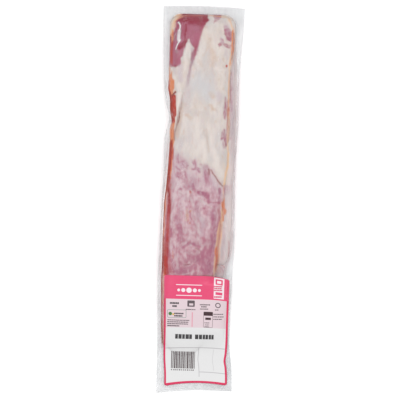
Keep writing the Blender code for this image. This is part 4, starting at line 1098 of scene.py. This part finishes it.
def meat_material():
    _, shade, _ = settings()
    material, tree, shader, _, place = new_material("pork_meat")

    def times(a, b):
        return calc(tree, "MULTIPLY", a, b)

    flecks = mottle(tree, place, 0.45, 0.6, 5.0, 0.3, 0.7)

    def broken(name, raggedness):
        """A painted mark broken up by flecks."""
        kept = calc(tree, "MULTIPLY_ADD", flecks, raggedness, 1 - raggedness / 2)
        return calc(tree, "MULTIPLY", attribute(tree, name), kept, clamp=True)

    def region(name, per_mm, raggedness, softness):
        """A painted region with a wandering edge."""
        return use_group(
            tree, "ragged_edge", Distance=attribute(tree, name), Place=place, Per_mm=per_mm,
            Raggedness=raggedness, Softness=softness,
        )["Mask"]

    # Each layer of patches: colour, strength, then what mottle takes
    fat = mixed(tree, mottle(tree, place, 0.04, 0.6), shade.fat_warm, shade.fat_cool)
    for layer, strength, *patches in (
        (shade.cream, 0.6, 0.16, 0.5, 5.0, 0.42, 0.66),
        (shade.lilac, 0.38, 0.36, 0.4, 4.0, 0.48, 0.7),
        (shade.tan, 0.42, 0.2, 0.7, 5.0, 0.56, 0.72),
        (shade.tan, 0.3, 0.8, 0.7, 3.0, 0.54, 0.7),
        (shade.cream, 0.25, 0.6, 0.8, 4.0, 0.54, 0.7),
    ):
        fat = mixed(tree, times(mottle(tree, place, *patches), strength), fat, layer)
    fat = mixed(tree, times(attribute(tree, "cool"), 0.7), fat, shade.fat_veiled)

    lean = mixed(tree, mottle(tree, place, 0.1, 0.6, 4.0), shade.lean, shade.lean_bright)
    # The deep marks hold darker lean and the painted shade beside the air pocket's fold
    lean = mixed(tree, broken("deep", 0.5), lean, shade.lean_deep)

    # The lean towards the tail deepens the further it is from the fat
    grain = mottle(tree, place, 0.3, 0.6, 8.0, 0.0, 1.0)
    broad = mottle(tree, place, 0.075, 0.7, 3.0, 0.3, 0.7)
    deepening = ramp(tree, separated(tree, place)["Y"], 0.0, -80.0)
    spread = calc(tree, "MULTIPLY_ADD", deepening, 0.34, calc(tree, "MULTIPLY_ADD", broad, 0.34, grain))
    tail = mixed(tree, ramp(tree, spread, 0.4, 1.16), shade.mauve_pale, shade.mauve)
    tail = mixed(tree, times(ramp(tree, spread, 0.85, 1.25), 0.55), tail, shade.mauve_deep)
    tail = mixed(tree, times(mottle(tree, place, 0.16, 0.6, 6.0, 0.52, 0.72), 0.34), tail, shade.fat_cool)
    tail = mixed(tree, times(broken("deep", 0.7), 0.85), tail, shade.mauve_deep)
    tail = mixed(tree, times(broken("veil", 0.8), 0.5), tail, shade.fat_cool)

    tail_mask = region("tail", 0.2, 7.0, 5.0)
    lean_mask = region("lean", 0.34, 1.5, 1.3)
    strap = mixed(tree, times(mottle(tree, place, 0.1, 0.4, 4.0), 0.4), shade.strap, shade.lilac)
    skin = mixed(tree, tail_mask, fat, tail)
    skin = mixed(tree, lean_mask, skin, lean)
    skin = mixed(tree, times(region("strap", 0.2, 0.8, 1.0), 0.9), skin, strap)
    # The brown layer also paints the shadow under the label's top edge
    for name, layer, raggedness in (
        ("lilac", shade.lilac, 0.4), ("smoke", shade.smoke, 0.4), ("mauve", shade.mauve_deep, 0.8),
        ("cream", shade.cream, 0.3), ("tan", shade.tan, 0.4), ("peach", shade.peach, 0.3),
        ("orange", shade.orange, 0.25), ("rose", shade.rose, 0.4), ("red", shade.red, 0.3),
        ("blood", shade.blood, 0.3), ("brown", shade.brown, 0.4),
    ):
        skin = mixed(tree, broken(name, raggedness), skin, layer)
    fleshy = calc(tree, "MAXIMUM", lean_mask, times(tail_mask, 0.7))
    fibres = times(mottle(tree, place, 1.1, 0.16, 2.0, 0.25, 0.75), fleshy)
    set_inputs(tree, shader, {
        "Base Color": mixed(tree, times(fibres, 0.2), skin, shade.mauve_deep),
        "Specular IOR Level": 0.1, "Subsurface Weight": 0.1, "Subsurface Radius": (1.0, 0.35, 0.25),
        "Subsurface Scale": 1.2 * MM,
        **wet_look(
            tree, 0.35, 0.5, fibres, Place=place, Per_mm=0.8, Stretch=(1, 0.3, 1), Roughness=0.42, Spread=0.25
        ),
    })
    return material


def juice_material():
    _, shade, _ = settings()
    material, tree, shader, _, place = new_material("meat_juice")
    body = mixed(tree, mottle(tree, place, 0.08, 0.6, 3.0, 0.3, 0.7), shade.red, shade.blood)
    set_inputs(tree, shader, {
        "Base Color": mixed(tree, attribute(tree, "thin"), body, shade.orange), "Specular IOR Level": 0.25,
        **wet_look(tree, 0.2, 0.2, Place=place, Per_mm=0.5, Roughness=0.18, Spread=0.15),
    })
    return material


def film_material(name="pouch_film"):
    """Clear glossy film: see-through where it is tight on the meat, milky where it is free or folded, with a
    painted near white highlight on its raised air pockets.
    """
    _, shade, look = settings()
    material, tree, shader, output, place = new_material(name)
    cloud = mottle(tree, place, 0.25, 0.4, 4.0, 0.25, 0.75)
    haze = calc(
        tree, "MULTIPLY", attribute(tree, "haze"), calc(tree, "MULTIPLY_ADD", cloud, 0.24, 0.88), clamp=True
    )
    milky = mixed(tree, cloud, shade.film, tuple(value * 0.94 for value in shade.film))
    milky = mixed(tree, attribute(tree, "stain"), milky, shade.film_stain)
    # Painted highlight along the raised air pockets
    milky = mixed(tree, attribute(tree, "painted_highlight"), milky, shade.film_painted_highlight)
    wet = wet_look(
        tree, 0.3, 0.6, Place=place, Per_mm=0.35, Stretch=(1, 0.35, 1), Roughness=look.film_roughness,
        Spread=0.12,
    )
    set_inputs(tree, shader, {"Base Color": milky, **wet})
    clear = put(tree, "ShaderNodeBsdfTransparent", {"Color": (0.985, 0.985, 0.985, 1)})
    gloss = put(tree, "ShaderNodeBsdfGlossy", {"Color": (1, 1, 1, 1), **wet})
    # Mirrors little face on and more at a slant, alike from inside and outside, so that it throws no
    # shade on the meat
    slant = put(tree, "ShaderNodeLayerWeight", {"Blend": 0.5, "Normal": wet["Normal"]}).outputs["Facing"]
    mirror = calc(tree, "MULTIPLY_ADD", calc(tree, "POWER", slant, 5.0), 0.3, 0.015)
    through = put(tree, "ShaderNodeBsdfTranslucent", {"Color": milky, "Normal": wet["Normal"]})

    def blend(factor, first, second):
        return put(tree, "ShaderNodeMixShader", {0: factor, 1: first.outputs[0], 2: second.outputs[0]})

    whole = blend(haze, blend(mirror, clear, gloss), blend(0.35, shader, through))
    tree.links.new(whole.outputs[0], output.inputs["Surface"])
    return material


def label_material():
    """The printed fields of the label, each over the ones before it."""
    _, shade, _ = settings()
    material, tree, shader, _, place = new_material("label_print")
    uv = put(tree, "ShaderNodeUVMap", uv_map="print").outputs[0]
    flat = vector(tree, "MULTIPLY", uv, (*LABEL_FLAT, 0.0))

    def field(base, ink, x0, x1, y0, y1, corner=0.0, outline=0.0, strength=1.0):
        mask = use_group(
            tree, "box_mask", Place=flat, Middle=((x0 + x1) / 2, (y0 + y1) / 2, 0),
            Half_size=((x1 - x0) / 2, (y1 - y0) / 2, 0), Corner=corner, Outline=outline,
        )["Mask"]
        if strength < 1:
            mask = calc(tree, "MULTIPLY", mask, strength)
        return mixed(tree, mask, base, getattr(shade, ink))

    sheet = shade.label_white
    for row in LABEL_FIELDS:
        sheet = field(sheet, *row)
    fine = calc(tree, "MULTIPLY", mottle(tree, place, 0.9, 1.0, 3.0, 0.3, 0.7), 0.05)
    set_inputs(tree, shader, {
        "Base Color": mixed(tree, fine, sheet, shade.worn), "Specular IOR Level": 0.3,
        **wet_look(tree, 0.25, 1.2, Place=place, Per_mm=0.12, Roughness=0.42, Spread=0.12),
    })
    return material


def ink_material(name, ink):
    _, shade, _ = settings()
    material, tree, shader, _, place = new_material(name)
    rubbed = calc(tree, "MULTIPLY", mottle(tree, place, 1.4, 1.0, 2.0, 0.3, 0.7), 0.1)
    set_inputs(tree, shader, {
        "Base Color": mixed(tree, rubbed, ink, shade.worn),
        **wet_look(tree, 0.1, 0.1, Place=place, Per_mm=0.6, Roughness=0.4, Spread=0.1),
    })
    return material


def floor_material():
    _, shade, _ = settings()
    material, tree, shader, _, place = new_material("pale_floor")
    cloud = calc(tree, "MULTIPLY", mottle(tree, place, 0.01, 1.0, 2.0), 0.3)
    wet = use_group(tree, "wet_skin", Place=place, Per_mm=0.05, Roughness=0.8, Spread=0.05)
    set_inputs(tree, shader, {
        "Base Color": mixed(tree, cloud, shade.floor, tuple(value * 0.985 for value in shade.floor)),
        "Roughness": wet["Roughness"],
    })
    return material


# Geometry Nodes


def end_tree(tree, geometry, material, result):
    smooth = put(tree, "GeometryNodeSetShadeSmooth", {0: geometry})
    real = put(tree, "GeometryNodeRealizeInstances", {0: smooth.outputs[0]})
    painted = put(tree, "GeometryNodeSetMaterial", {0: real.outputs[0], "Material": material})
    tree.links.new(painted.outputs[0], result[0])


def make_bead_along_path():
    """Sweeps an uneven flattened bead along a curve, as wide as the curve's radius says."""
    tree, given, result = new_group(
        "bead_along_path", "GeometryNodeTree",
        [("Geometry", "Geometry"), ("Spacing", "Float", 1.2 * MM), ("Sides", "Int", 10),
         ("Flatness", "Float", 0.6), ("Unevenness", "Float", 0.2 * MM), ("Material", "Material")],
        [("Geometry", "Geometry")],
    )
    curve = put(
        tree, "GeometryNodeResampleCurve", {0: given["Geometry"], "Length": given["Spacing"]}, mode="LENGTH"
    )
    ring = put(tree, "GeometryNodeCurvePrimitiveCircle", {"Resolution": given["Sides"], "Radius": 1.0})
    squash = combined(tree, 1.0, given["Flatness"], 1.0)
    profile = put(tree, "GeometryNodeTransform", {0: ring.outputs[0], "Scale": squash})
    radius = put(tree, "GeometryNodeInputRadius")
    swept = put(
        tree, "GeometryNodeCurveToMesh",
        {0: curve.outputs[0], 1: profile.outputs[0], "Scale": radius.outputs[0], "Fill Caps": True},
    )
    uneven = put(tree, "ShaderNodeTexNoise", {"Scale": 260.0, "Detail": 2.0}).outputs["Fac"]
    amount = calc(tree, "MULTIPLY", calc(tree, "SUBTRACT", uneven, 0.5), given["Unevenness"])
    normal = put(tree, "GeometryNodeInputNormal")
    shift = put(tree, "ShaderNodeVectorMath", {0: normal.outputs[0], "Scale": amount}, operation="SCALE")
    moved = put(tree, "GeometryNodeSetPosition", {0: swept.outputs[0], "Offset": shift.outputs[0]})
    end_tree(tree, moved.outputs[0], given["Material"], result)


def make_bars_on_label():
    """Puts a thin bar on every point, as wide and tall as the point says, and drapes it over the label."""
    tree, given, result = new_group(
        "bars_on_label", "GeometryNodeTree",
        [("Geometry", "Geometry"), ("Label", "Object"), ("Lift", "Float", 0.03 * MM),
         ("Thickness", "Float", 0.05 * MM), ("Steps", "Int", 6), ("Material", "Material")],
        [("Geometry", "Geometry")],
    )
    block = put(
        tree, "GeometryNodeMeshCube",
        {"Size": (1, 1, 1), "Vertices X": 3, "Vertices Y": given["Steps"], "Vertices Z": 2},
    )
    wide, tall = (
        put(tree, "GeometryNodeInputNamedAttribute", {"Name": name}, data_type="FLOAT").outputs[0]
        for name in ("wide", "tall")
    )
    placed = put(
        tree, "GeometryNodeInstanceOnPoints",
        {"Points": given["Geometry"], "Instance": block.outputs[0], "Scale": combined(tree, wide, tall, 1.0)},
    )
    real = put(tree, "GeometryNodeRealizeInstances", {0: placed.outputs[0]})
    parts = separated(tree, put(tree, "GeometryNodeInputPosition").outputs[0])
    label = put(tree, "GeometryNodeObjectInfo", {"Object": given["Label"]}, transform_space="RELATIVE")
    above = combined(tree, parts[0], parts[1], 0.5)
    hit = put(tree, "GeometryNodeRaycast", {
        "Target Geometry": label.outputs["Geometry"], "Source Position": above,
        "Ray Direction": (0, 0, -1), "Ray Length": 2.0,
    })
    above_bottom = calc(tree, "ADD", parts[2], 0.5)
    rise = calc(tree, "MULTIPLY_ADD", above_bottom, given["Thickness"], given["Lift"])
    spot = vector(tree, "ADD", hit.outputs["Hit Position"], combined(tree, 0.0, 0.0, rise))
    draped = put(tree, "GeometryNodeSetPosition", {0: real.outputs[0], "Position": spot})
    end_tree(tree, draped.outputs[0], given["Material"], result)


def grow(source, tree, **inputs):
    """Runs a tree on an object and returns the result as a plain mesh; the object goes."""
    modifier = source.modifiers.new("grow", "NODES")
    modifier.node_group = tree
    for item in tree.interface.items_tree:
        key = item.name.lower()
        if item.item_type == "SOCKET" and item.in_out == "INPUT" and key in inputs:
            modifier[item.identifier] = inputs[key]
    graph = bpy.context.evaluated_depsgraph_get()
    mesh = bpy.data.meshes.new_from_object(source.evaluated_get(graph), depsgraph=graph)
    source.modifiers.remove(modifier)
    data = source.data
    bpy.data.objects.remove(source)
    (bpy.data.curves if isinstance(data, bpy.types.Curve) else bpy.data.meshes).remove(data)
    return mesh


def path_object(name, paths):
    """A curve object of poly splines; each path is (x, y, z, radius) rows in metres."""
    curve = bpy.data.curves.new(name, "CURVE")
    curve.dimensions = "3D"
    for path in paths:
        spline = curve.splines.new("POLY")
        spline.points.add(len(path) - 1)
        for point, (x, y, z, radius) in zip(spline.points, path):
            point.co = (x, y, z, 1)
            point.radius = radius
    return add_object(name, curve)


def smooth_path(points, step=2.0):
    """Points along a smooth line through (x, y, ...) rows, about step millimetres apart."""
    points = np.array(points, float)
    run = np.concatenate([[0], np.cumsum(np.hypot(*np.diff(points[:, :2], axis=0).T))])
    at = np.linspace(0, run[-1], max(3, int(run[-1] / step)))
    columns = [smooth_line(tuple(zip(run, column)), at * MM) / MM for column in points.T]
    return np.stack(columns, axis=1)


def edged_steps(start, end, edge, edge_count, count):
    """From start to end, with edge_count close steps over the first and the last `edge` of the way."""
    inner = np.linspace(start + edge, end - edge, count)[1:-1]
    return np.concatenate([
        np.linspace(start, start + edge, edge_count), inner, np.linspace(end - edge, end, edge_count)
    ])


def bar_row(draw, x0, x1, y, tall, gap, least, most):
    """Bars of drawn widths from x0 to x1, as (across, down, wide, tall) rows in millimetres."""
    at, bars = x0, []
    while at < x1:
        wide = min(draw.uniform(least, most), x1 - at)
        if wide > SMALLEST_BAR:
            bars.append((at + wide / 2, y, wide, tall))
        at += wide + gap * draw.uniform(0.7, 1.5)
    return bars


# Operators, one for each piece

RIM_STEP = 0.12 * MM  # width of the outermost row of the film's mesh
RIB_RADIUS = 0.11 * MM
SIDE_WELD_IN = 1.3 * MM  # from the pouch's edge to the rib of a side weld
BEAD_UNDER_FILM = 0.3 * MM
BEAD_OVER_MEAT = 0.2 * MM
LABEL_ROOM = 0.12 * MM  # from the film's wrinkles to the label
JUICE_THINNESS = {"left": 0.15, "right": 0.9}
FLOOR_REACH = 4.0


class TENDERLOIN_OT_meat(bpy.types.Operator):
    """Make the tenderloin: the main muscle and the side strap, with fat, lean and stains"""

    bl_idname = "tenderloin.meat"
    bl_label = "Tenderloin"

    def execute(self, context):
        size, _, look = settings()
        rows = round((size.head_end - size.tail_end) / size.grid * 1.2)
        y = size.tail_end + (size.head_end - size.tail_end) * eased_steps(rows, 0.12)
        left, right = (edge[:, None] for edge in meat_outline(y))
        x = left + (right - left) * eased_steps(MEAT_COLUMNS, 0.4)[None, :]
        y = np.repeat(y[:, None], x.shape[1], axis=1)
        upper, lower = meat_heights(x, y)
        grain = 0.10 * bumps(x, y, (1.4, 9.0), look.seed + 3) + 0.14 * bumps(x, y, (4.0, 10.0), look.seed + 4)
        upper = upper - (0.2 + grain) * MM * rising(upper - lower, 0, 4)
        mesh, points, is_top = closed_shell("tenderloin", x, y, upper, lower)
        px, py = points[:, 0], points[:, 1]
        patches = [np.minimum(inside_distance(px, py, outline), most) for most, outline in HEAD_LEAN]
        lean = np.max(patches, axis=0)
        tail = inside_distance(px, py, TAIL_LEAN)
        under = 3.0 + 5.0 * bumps(px, py, (22.0, 60.0), look.seed + 5)
        add_values(mesh, "lean", np.clip(np.where(is_top, lean, -8.0), -12, 12))
        add_values(mesh, "tail", np.clip(np.where(is_top, tail, under), -24, 24))
        strap = (px - smooth_line(CREASE, py)) / MM - 1.2
        add_values(mesh, "strap", np.where(is_top, np.clip(strap, -12, 12), -12))
        # Marks wander, the more so the further down the side wall
        seam = smooth_line(SEAM, py)
        height = (points[:, 2] - seam) / (smooth_line(CREST, py) - seam)
        low = ease((0.75 - height) / 0.6)
        mark_x = px + 0.45 * MM * bumps(px, py, (2.2, 5.0), look.seed + 9)
        wander = bumps(points[:, 2] + 0.3 * px, py, (3.0, 11.0), look.seed + 10)
        mark_y = py + (1.0 + 7.0 * low) * MM * wander
        for name, marks in MARKS.items():
            add_values(mesh, name, mark_strength(mark_x, mark_y, marks) * is_top)
        finish_piece("tenderloin", mesh, meat_material(), "vacuum_pack")
        return {"FINISHED"}


class TENDERLOIN_OT_juice(bpy.types.Operator):
    """Make the beads of juice that lie in the folds along both sides of the meat"""

    bl_idname = "tenderloin.juice"
    bl_label = "Juice"

    def execute(self, context):
        tree = bpy.data.node_groups["bead_along_path"]
        material = juice_material()
        for side, points in JUICE_BEADS.items():
            path = smooth_path(points)
            x, y = path[:, 0] * MM, path[:, 1] * MM
            film, meat = film_heights(x, y)[0], meat_heights(x, y)[0]
            z = np.minimum(film - BEAD_UNDER_FILM, meat + BEAD_OVER_MEAT)
            rows = np.stack([x, y, z, path[:, 2] * MM], axis=1)
            source = path_object(f"juice_{side}_path", [rows])
            mesh = grow(source, tree, flatness=0.45, unevenness=0.25 * MM, material=material)
            add_values(mesh, "thin", np.full(len(mesh.vertices), JUICE_THINNESS[side]))
            finish_piece(f"juice_{side}", mesh, material)
        return {"FINISHED"}


class TENDERLOIN_OT_film(bpy.types.Operator):
    """Make the clear pouch: two films closed all round, tight on the meat, with folds and air pockets"""

    bl_idname = "tenderloin.film"
    bl_label = "Pouch film"

    def execute(self, context):
        size, _, look = settings()
        half = size.pouch_length / 2
        y = np.linspace(-half, half, round(2 * half / size.grid) + 1)
        y = np.insert(y, (1, len(y) - 1), (RIM_STEP - half, half - RIM_STEP))
        x = pouch_columns(y)
        y = np.repeat(y[:, None], x.shape[1], axis=1)
        across = 2 * (x - x[:, :1]) / (x[:, -1:] - x[:, :1]) - 1
        y = y + end_shape(across, y)
        upper, lower = film_heights(x, y)
        upper = upper + film_folds(x, y)
        mesh, points, is_top = closed_shell("pouch_film", x, y, upper, lower)
        px, py = points[:, 0], points[:, 1]
        left, right = meat_outline(py)
        outside = np.max([left - px, px - right, py - size.head_end, size.tail_end - py], axis=0) / MM
        by_juice = rising(px, -20, -30) * rising(py, -90, -70) * rising(py, 70, 50)
        by_strap = rising(py, 150, 120) * rising(py, -95, -80)
        free = ease((outside + 0.4 - 0.9 * by_juice) / 1.2)
        over_strap = ease(0.5 + (px - smooth_line(CREASE, py)) / MM / 2.4)
        haze = look.meat_haze + (look.strap_haze - look.meat_haze) * over_strap
        haze = haze + (look.margin_haze - haze) * free
        below = 0.35 + 0.25 * rising(py, -90, 130) + 0.4 * rising(px, 0, 20) * rising(py, 100, 40)
        haze = haze * np.where(is_top, 1.0, below)
        # Milkiness of the air pockets, partly a painted highlight, and a near white painted highlight where
        # it is strongest
        pocket_haze_and_highlight = mark_strength(px, py, [pocket[:-1] for pocket in AIR_POCKETS_AND_HIGHLIGHTS]) * is_top
        add_values(mesh, "haze", np.maximum(haze, pocket_haze_and_highlight))
        add_values(mesh, "painted_highlight", ease((pocket_haze_and_highlight - 0.5) / 0.4))
        stain_right = 0.62 * ease(1 - outside / 4.5) * by_strap
        stain_left = ease(1 - outside / 4.0) * by_juice
        add_values(mesh, "stain", np.where(px > 0, stain_right, stain_left) * free)
        finish_piece("pouch_film", mesh, film_material(), "vacuum_pack")
        return {"FINISHED"}


class TENDERLOIN_OT_welds(bpy.types.Operator):
    """Make the ribs of the welds that run round the edge of the pouch"""

    bl_idname = "tenderloin.welds"
    bl_label = "Weld ribs"

    def execute(self, context):
        size, _, _ = settings()
        half = size.pouch_length / 2
        paths = []
        y = np.linspace(-half + 7 * MM, half - 5 * MM, 220)
        for line, inward in ((POUCH_LEFT, SIDE_WELD_IN), (POUCH_RIGHT, -SIDE_WELD_IN)):
            paths.append((smooth_line(line, y) + inward, y))
        for end, inward in ((half, -2.0 * MM), (-half, 2.6 * MM), (-half, 5.4 * MM)):
            at = end + inward
            left, right = (float(smooth_line(line, at)) for line in (POUCH_LEFT, POUCH_RIGHT))
            x = np.linspace(left + 1.5 * MM, right - 1.5 * MM, 50)
            across = 2 * (x - left) / (right - left) - 1
            paths.append((x, at + end_shape(across, np.full_like(x, at))))
        rows = []
        for x, y in paths:
            upper = film_heights(x, y)[0] + film_folds(x, y)
            from_end = np.minimum(np.arange(len(x)), np.arange(len(x))[::-1])
            radius = RIB_RADIUS * ease(from_end / 6 + 0.15)
            rows.append(np.stack([x, y, upper, radius], axis=1))
        source = path_object("weld_paths", rows)
        material = film_material("weld_film")
        mesh = grow(
            source, bpy.data.node_groups["bead_along_path"], spacing=2.0 * MM, sides=6, flatness=0.7,
            unevenness=0.03 * MM, material=material,
        )
        for name, value in (("haze", 0.6), ("stain", 0.0), ("painted_highlight", 0.0)):
            add_values(mesh, name, np.full(len(mesh.vertices), value))
        finish_piece("weld_ribs", mesh, material)
        return {"FINISHED"}


class TENDERLOIN_OT_label(bpy.types.Operator):
    """Make the label: a thin sheet draped over the film, with its printed fields"""

    bl_idname = "tenderloin.label"
    bl_label = "Label"

    def execute(self, context):
        size, _, look = settings()
        tall = (size.label_top - size.label_bottom) / MM
        across, down = np.meshgrid(edged_steps(-1, 1, 0.07, 6, 62), edged_steps(0, 1, 0.024, 9, 116))
        y = size.label_top + (size.label_bottom - size.label_top) * down
        left, right = smooth_line(LABEL_LEFT, y), smooth_line(LABEL_RIGHT, y)
        corner = size.label_corner / MM
        near = np.clip(corner - np.minimum(down, 1 - down) * tall, 0, corner)
        pull = (corner - np.sqrt(corner**2 - near**2)) * MM
        x = (left + right) / 2 + ((right - left) / 2 - pull) * across
        y = y + (size.label_bow * (1 - across**2) + size.label_skew * (1 + across)) * down**2
        y = y - size.label_droop * np.clip(across, 0, 1) ** 3 * (1 - down) ** 2
        base = film_heights(x, y)[0] + size.wrinkle + LABEL_ROOM
        wave = 0.10 * MM * bumps(x, y, (9.0, 16.0), look.seed + 8)
        mesh, _, _ = closed_shell("label", x, y, base + size.label_thickness + wave, base + wave)
        u = np.clip((x - left) / (right - left), 0, 1)
        uv = np.stack([np.concatenate([part.ravel(), part[INNER].ravel()]) for part in (u, down)], 1)
        layer = mesh.uv_layers.new(name="print")
        corners = np.empty(len(mesh.loops), np.int32)
        mesh.loops.foreach_get("vertex_index", corners)
        layer.data.foreach_set("uv", uv[corners].astype(np.float32).ravel())
        finish_piece("label_sheet", mesh, label_material(), "label")
        return {"FINISHED"}


class TENDERLOIN_OT_print(bpy.types.Operator):
    """Make the printed rows and bars on the label: plain bars with no words in them"""

    bl_idname = "tenderloin.print"
    bl_label = "Printed bars"

    def execute(self, context):
        _, shade, look = settings()
        draw = np.random.RandomState(look.seed + 20)
        tree = bpy.data.node_groups["bars_on_label"]
        label = bpy.data.objects["label_sheet"]
        left, top = LABEL_CORNER
        for ink, rows in PRINT_ROWS.items():
            bars = [bar for row in rows for bar in bar_row(draw, *row)]
            points = bpy.data.meshes.new(f"{ink}_points")
            places = [((left + across) * MM, (top - down) * MM, 0) for across, down, *_ in bars]
            points.from_pydata(places, [], [])
            add_values(points, "wide", [bar[2] * MM for bar in bars])
            add_values(points, "tall", [bar[3] * MM for bar in bars])
            material = ink_material(f"print_{ink}", getattr(shade, ink))
            steps = 14 if ink == "ink_brown" else 4  # the tall bars bend with the label
            source = add_object(f"{ink}_points", points)
            mesh = grow(source, tree, label=label, steps=steps, material=material)
            finish_piece(f"print_{ink}", mesh, material)
        return {"FINISHED"}


class TENDERLOIN_OT_stage(bpy.types.Operator):
    """Make the floor, the lights and the camera"""

    bl_idname = "tenderloin.stage"
    bl_label = "Floor, light and camera"

    def light(self, name, power, wide, place):
        """A round lamp that faces the middle of the scene."""
        data = bpy.data.lights.new(name, "AREA")
        data.energy, data.size, data.shape = power, wide, "DISK"
        made = add_object(name, data)
        made.location = place
        made.rotation_mode = "QUATERNION"
        made.rotation_quaternion = made.location.to_track_quat("Z", "Y")

    def execute(self, context):
        look = settings()[2]
        scene = context.scene
        mesh = bpy.data.meshes.new("floor")
        corners = [(x * FLOOR_REACH, y * FLOOR_REACH, 0) for x, y in ((-1, -1), (1, -1), (1, 1), (-1, 1))]
        mesh.from_pydata(corners, [], [(0, 1, 2, 3)])
        mesh.materials.append(floor_material())
        floor = add_object("floor", mesh)
        self.light("key_light", look.key_power, 0.9, (0.75, 0.2, 1.2))
        self.light("fill_light", look.fill_power, 1.1, (-0.75, 0.1, 1.2))
        world = bpy.data.worlds.new("studio")
        world.use_nodes = True
        background = world.node_tree.nodes["Background"]
        background.inputs["Color"].default_value = (1, 1, 1, 1)
        background.inputs["Strength"].default_value = look.sky
        scene.world = world
        scene.view_settings.view_transform = "Standard"
        camera = bpy.data.cameras.new("camera")
        camera.lens, camera.sensor_width = 200.0, 36.0
        camera.clip_start, camera.clip_end = 0.05, 20.0
        made = add_object("camera", camera)
        made.location = (1.3 * MM, 0.2 * MM, look.camera_height)
        made.rotation_euler = (0, 0, look.camera_roll)
        scene.camera = made
        return {"FINISHED"}


class TENDERLOIN_PT_panel(bpy.types.Panel):
    """Lists the pieces in the sidebar of the 3D view"""

    bl_label = "Vacuum packed tenderloin"
    bl_idname = "TENDERLOIN_PT_panel"
    bl_space_type = "VIEW_3D"
    bl_region_type = "UI"
    bl_category = "Tenderloin"

    def draw(self, context):
        for made in PIECES:
            self.layout.operator(made.bl_idname)
        for group in settings():
            box = self.layout.box()
            for name in group.bl_rna.properties.keys():
                if name not in ("rna_type", "name"):
                    box.prop(group, name)


PIECES = (
    TENDERLOIN_OT_meat, TENDERLOIN_OT_juice, TENDERLOIN_OT_film, TENDERLOIN_OT_welds,
    TENDERLOIN_OT_label, TENDERLOIN_OT_print, TENDERLOIN_OT_stage,
)
NODE_GROUPS = (
    make_mottle, make_ragged_edge, make_box_mask, make_wet_skin, make_bead_along_path, make_bars_on_label,
)
GROUPS = {
    "tenderloin_sizes": TENDERLOIN_PG_sizes,
    "tenderloin_colours": TENDERLOIN_PG_colours,
    "tenderloin_looks": TENDERLOIN_PG_looks,
}


def register():
    for made in (*GROUPS.values(), *PIECES, TENDERLOIN_PT_panel):
        bpy.utils.register_class(made)
    for name, group in GROUPS.items():
        setattr(bpy.types.Scene, name, PointerProperty(type=group))


def unregister():
    for name in GROUPS:
        delattr(bpy.types.Scene, name)
    for made in reversed((*GROUPS.values(), *PIECES, TENDERLOIN_PT_panel)):
        bpy.utils.unregister_class(made)


def main():
    register()
    for make in NODE_GROUPS:
        make()
    for piece in PIECES:
        family, name = piece.bl_idname.split(".")
        getattr(getattr(bpy.ops, family), name)()
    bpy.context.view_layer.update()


if __name__ == "__main__":
    main()
